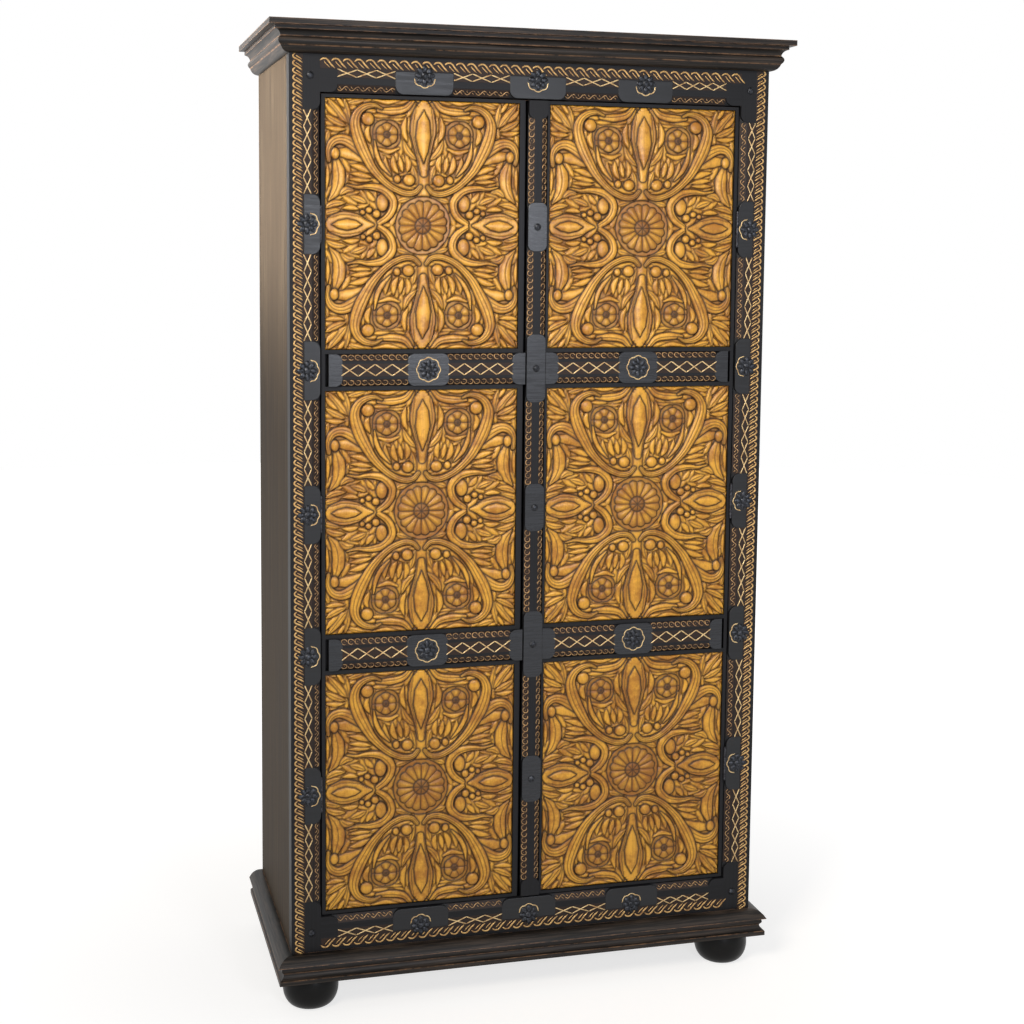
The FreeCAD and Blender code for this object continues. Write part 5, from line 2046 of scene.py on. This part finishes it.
@dataclass
class Studio:
    """A pale floor, soft light from in front and above, and a camera at the photograph's place."""

    camera_place: Place = (-1.0293, -3.7748, 1.6937)
    yaw: float = 15.452
    pitch: float = -5.753
    roll: float = 0.579
    focal_pixels: float = 1677.76
    centre_row: float = 411.3
    sensor_mm: float = 36.0
    floor_radius: float = 9.0
    floor_sides: int = 96

    def build(self) -> None:
        """Makes the stage."""
        self.floor()
        self.light()
        self.camera()
        bpy.context.scene.view_settings.view_transform = "Standard"

    def floor(self) -> None:
        """A round white floor that keeps the shadow faintly."""
        shape = bmesh.new()
        bmesh.ops.create_circle(shape, cap_ends=True, segments=self.floor_sides, radius=self.floor_radius)
        mesh = bpy.data.meshes.new("floor")
        shape.to_mesh(mesh)
        shape.free()
        floor = put("floor", mesh)
        material, tree, shader, place = new_material("white paper floor")
        away = add_node(tree, "ShaderNodeVectorMath", {0: place}, operation="LENGTH")
        paper = add_node(tree, "ShaderNodeMapRange", {
            "Value": away, "From Min": 0.7, "From Max": 2.4, "To Min": 0.72, "To Max": 1.0})
        strength = add_node(tree, "ShaderNodeMath", {0: paper, 1: seen_rays(tree)}, operation="MULTIPLY")
        feed(tree, shader, {
            "Base Color": linear("#a9a7a4"), "Roughness": 0.9, "Emission Color": linear("#ffffff"),
            "Emission Strength": strength})
        mesh.materials.append(material)

    def light(self) -> None:
        """White surroundings and three soft lamps."""
        world = bpy.data.worlds.new("white studio")
        bpy.context.scene.world = world
        world.use_nodes = True
        tree = world.node_tree
        way = add_node(tree, "ShaderNodeTexCoord").outputs["Generated"]
        height = add_node(tree, "ShaderNodeSeparateXYZ", {0: way}).outputs["Z"]
        glow = add_node(tree, "ShaderNodeMapRange", {
            "Value": height, "From Min": -0.2, "From Max": 0.9, "To Min": 0.1, "To Max": 0.5})
        strength = add_node(tree, "ShaderNodeMath", {0: glow, 1: seen_rays(tree)}, operation="MAXIMUM")
        feed(tree, tree.nodes["Background"], {"Color": linear("#ffffff"), "Strength": strength})
        for lamp in LAMPS:
            light = bpy.data.lights.new(lamp.name, "AREA")
            light.size = lamp.size
            light.spread = math.radians(lamp.spread)
            light.energy = lamp.power
            light.color = linear(lamp.colour)[:3]
            holder = put(lamp.name, light)
            holder.location = lamp.place
            way = Vector(lamp.target) - Vector(lamp.place)
            holder.rotation_euler = way.to_track_quat("-Z", "Y").to_euler()

    def camera(self) -> None:
        """The camera, with its frame shifted up as the photograph's is."""
        lens = bpy.data.cameras.new("camera")
        lens.sensor_width = self.sensor_mm
        lens.lens = self.focal_pixels * self.sensor_mm / PHOTO_SIDE
        lens.shift_y = (self.centre_row - PHOTO_SIDE / 2) / PHOTO_SIDE
        yaw, pitch, roll = (math.radians(angle) for angle in (self.yaw, self.pitch, self.roll))
        ahead = Vector((math.sin(yaw) * math.cos(pitch), math.cos(yaw) * math.cos(pitch), math.sin(pitch)))
        level = ahead.cross(Vector((0, 0, 1))).normalized()
        above = level.cross(ahead)
        right = level * math.cos(roll) + above * math.sin(roll)
        up = above * math.cos(roll) - level * math.sin(roll)
        turn = Matrix((right, up, -ahead)).transposed()
        holder = put("camera", lens)
        holder.matrix_world = Matrix.Translation(self.camera_place) @ turn.to_4x4()
        bpy.context.scene.camera = holder


def main() -> None:
    """Builds the cupboard's looks in order."""
    logging.basicConfig(level=logging.INFO, format="%(message)s")
    finishes = Finishes()
    PlainParts(finishes).build()
    CarvedPanels(finishes).build()
    motifs, rows = Motifs(), row_tree()
    FaceFrame(finishes, motifs, rows).build()
    DoorBands(finishes, motifs, rows).build()
    Studs(finishes).build()
    Moulding(finishes, "cornice", CORNICE_REACH, CORNICE).build()
    Moulding(finishes, "base", BASE_REACH, BASE).build()
    BunFeet(finishes).build()
    Studio().build()


if __name__ == "__main__":
    main()
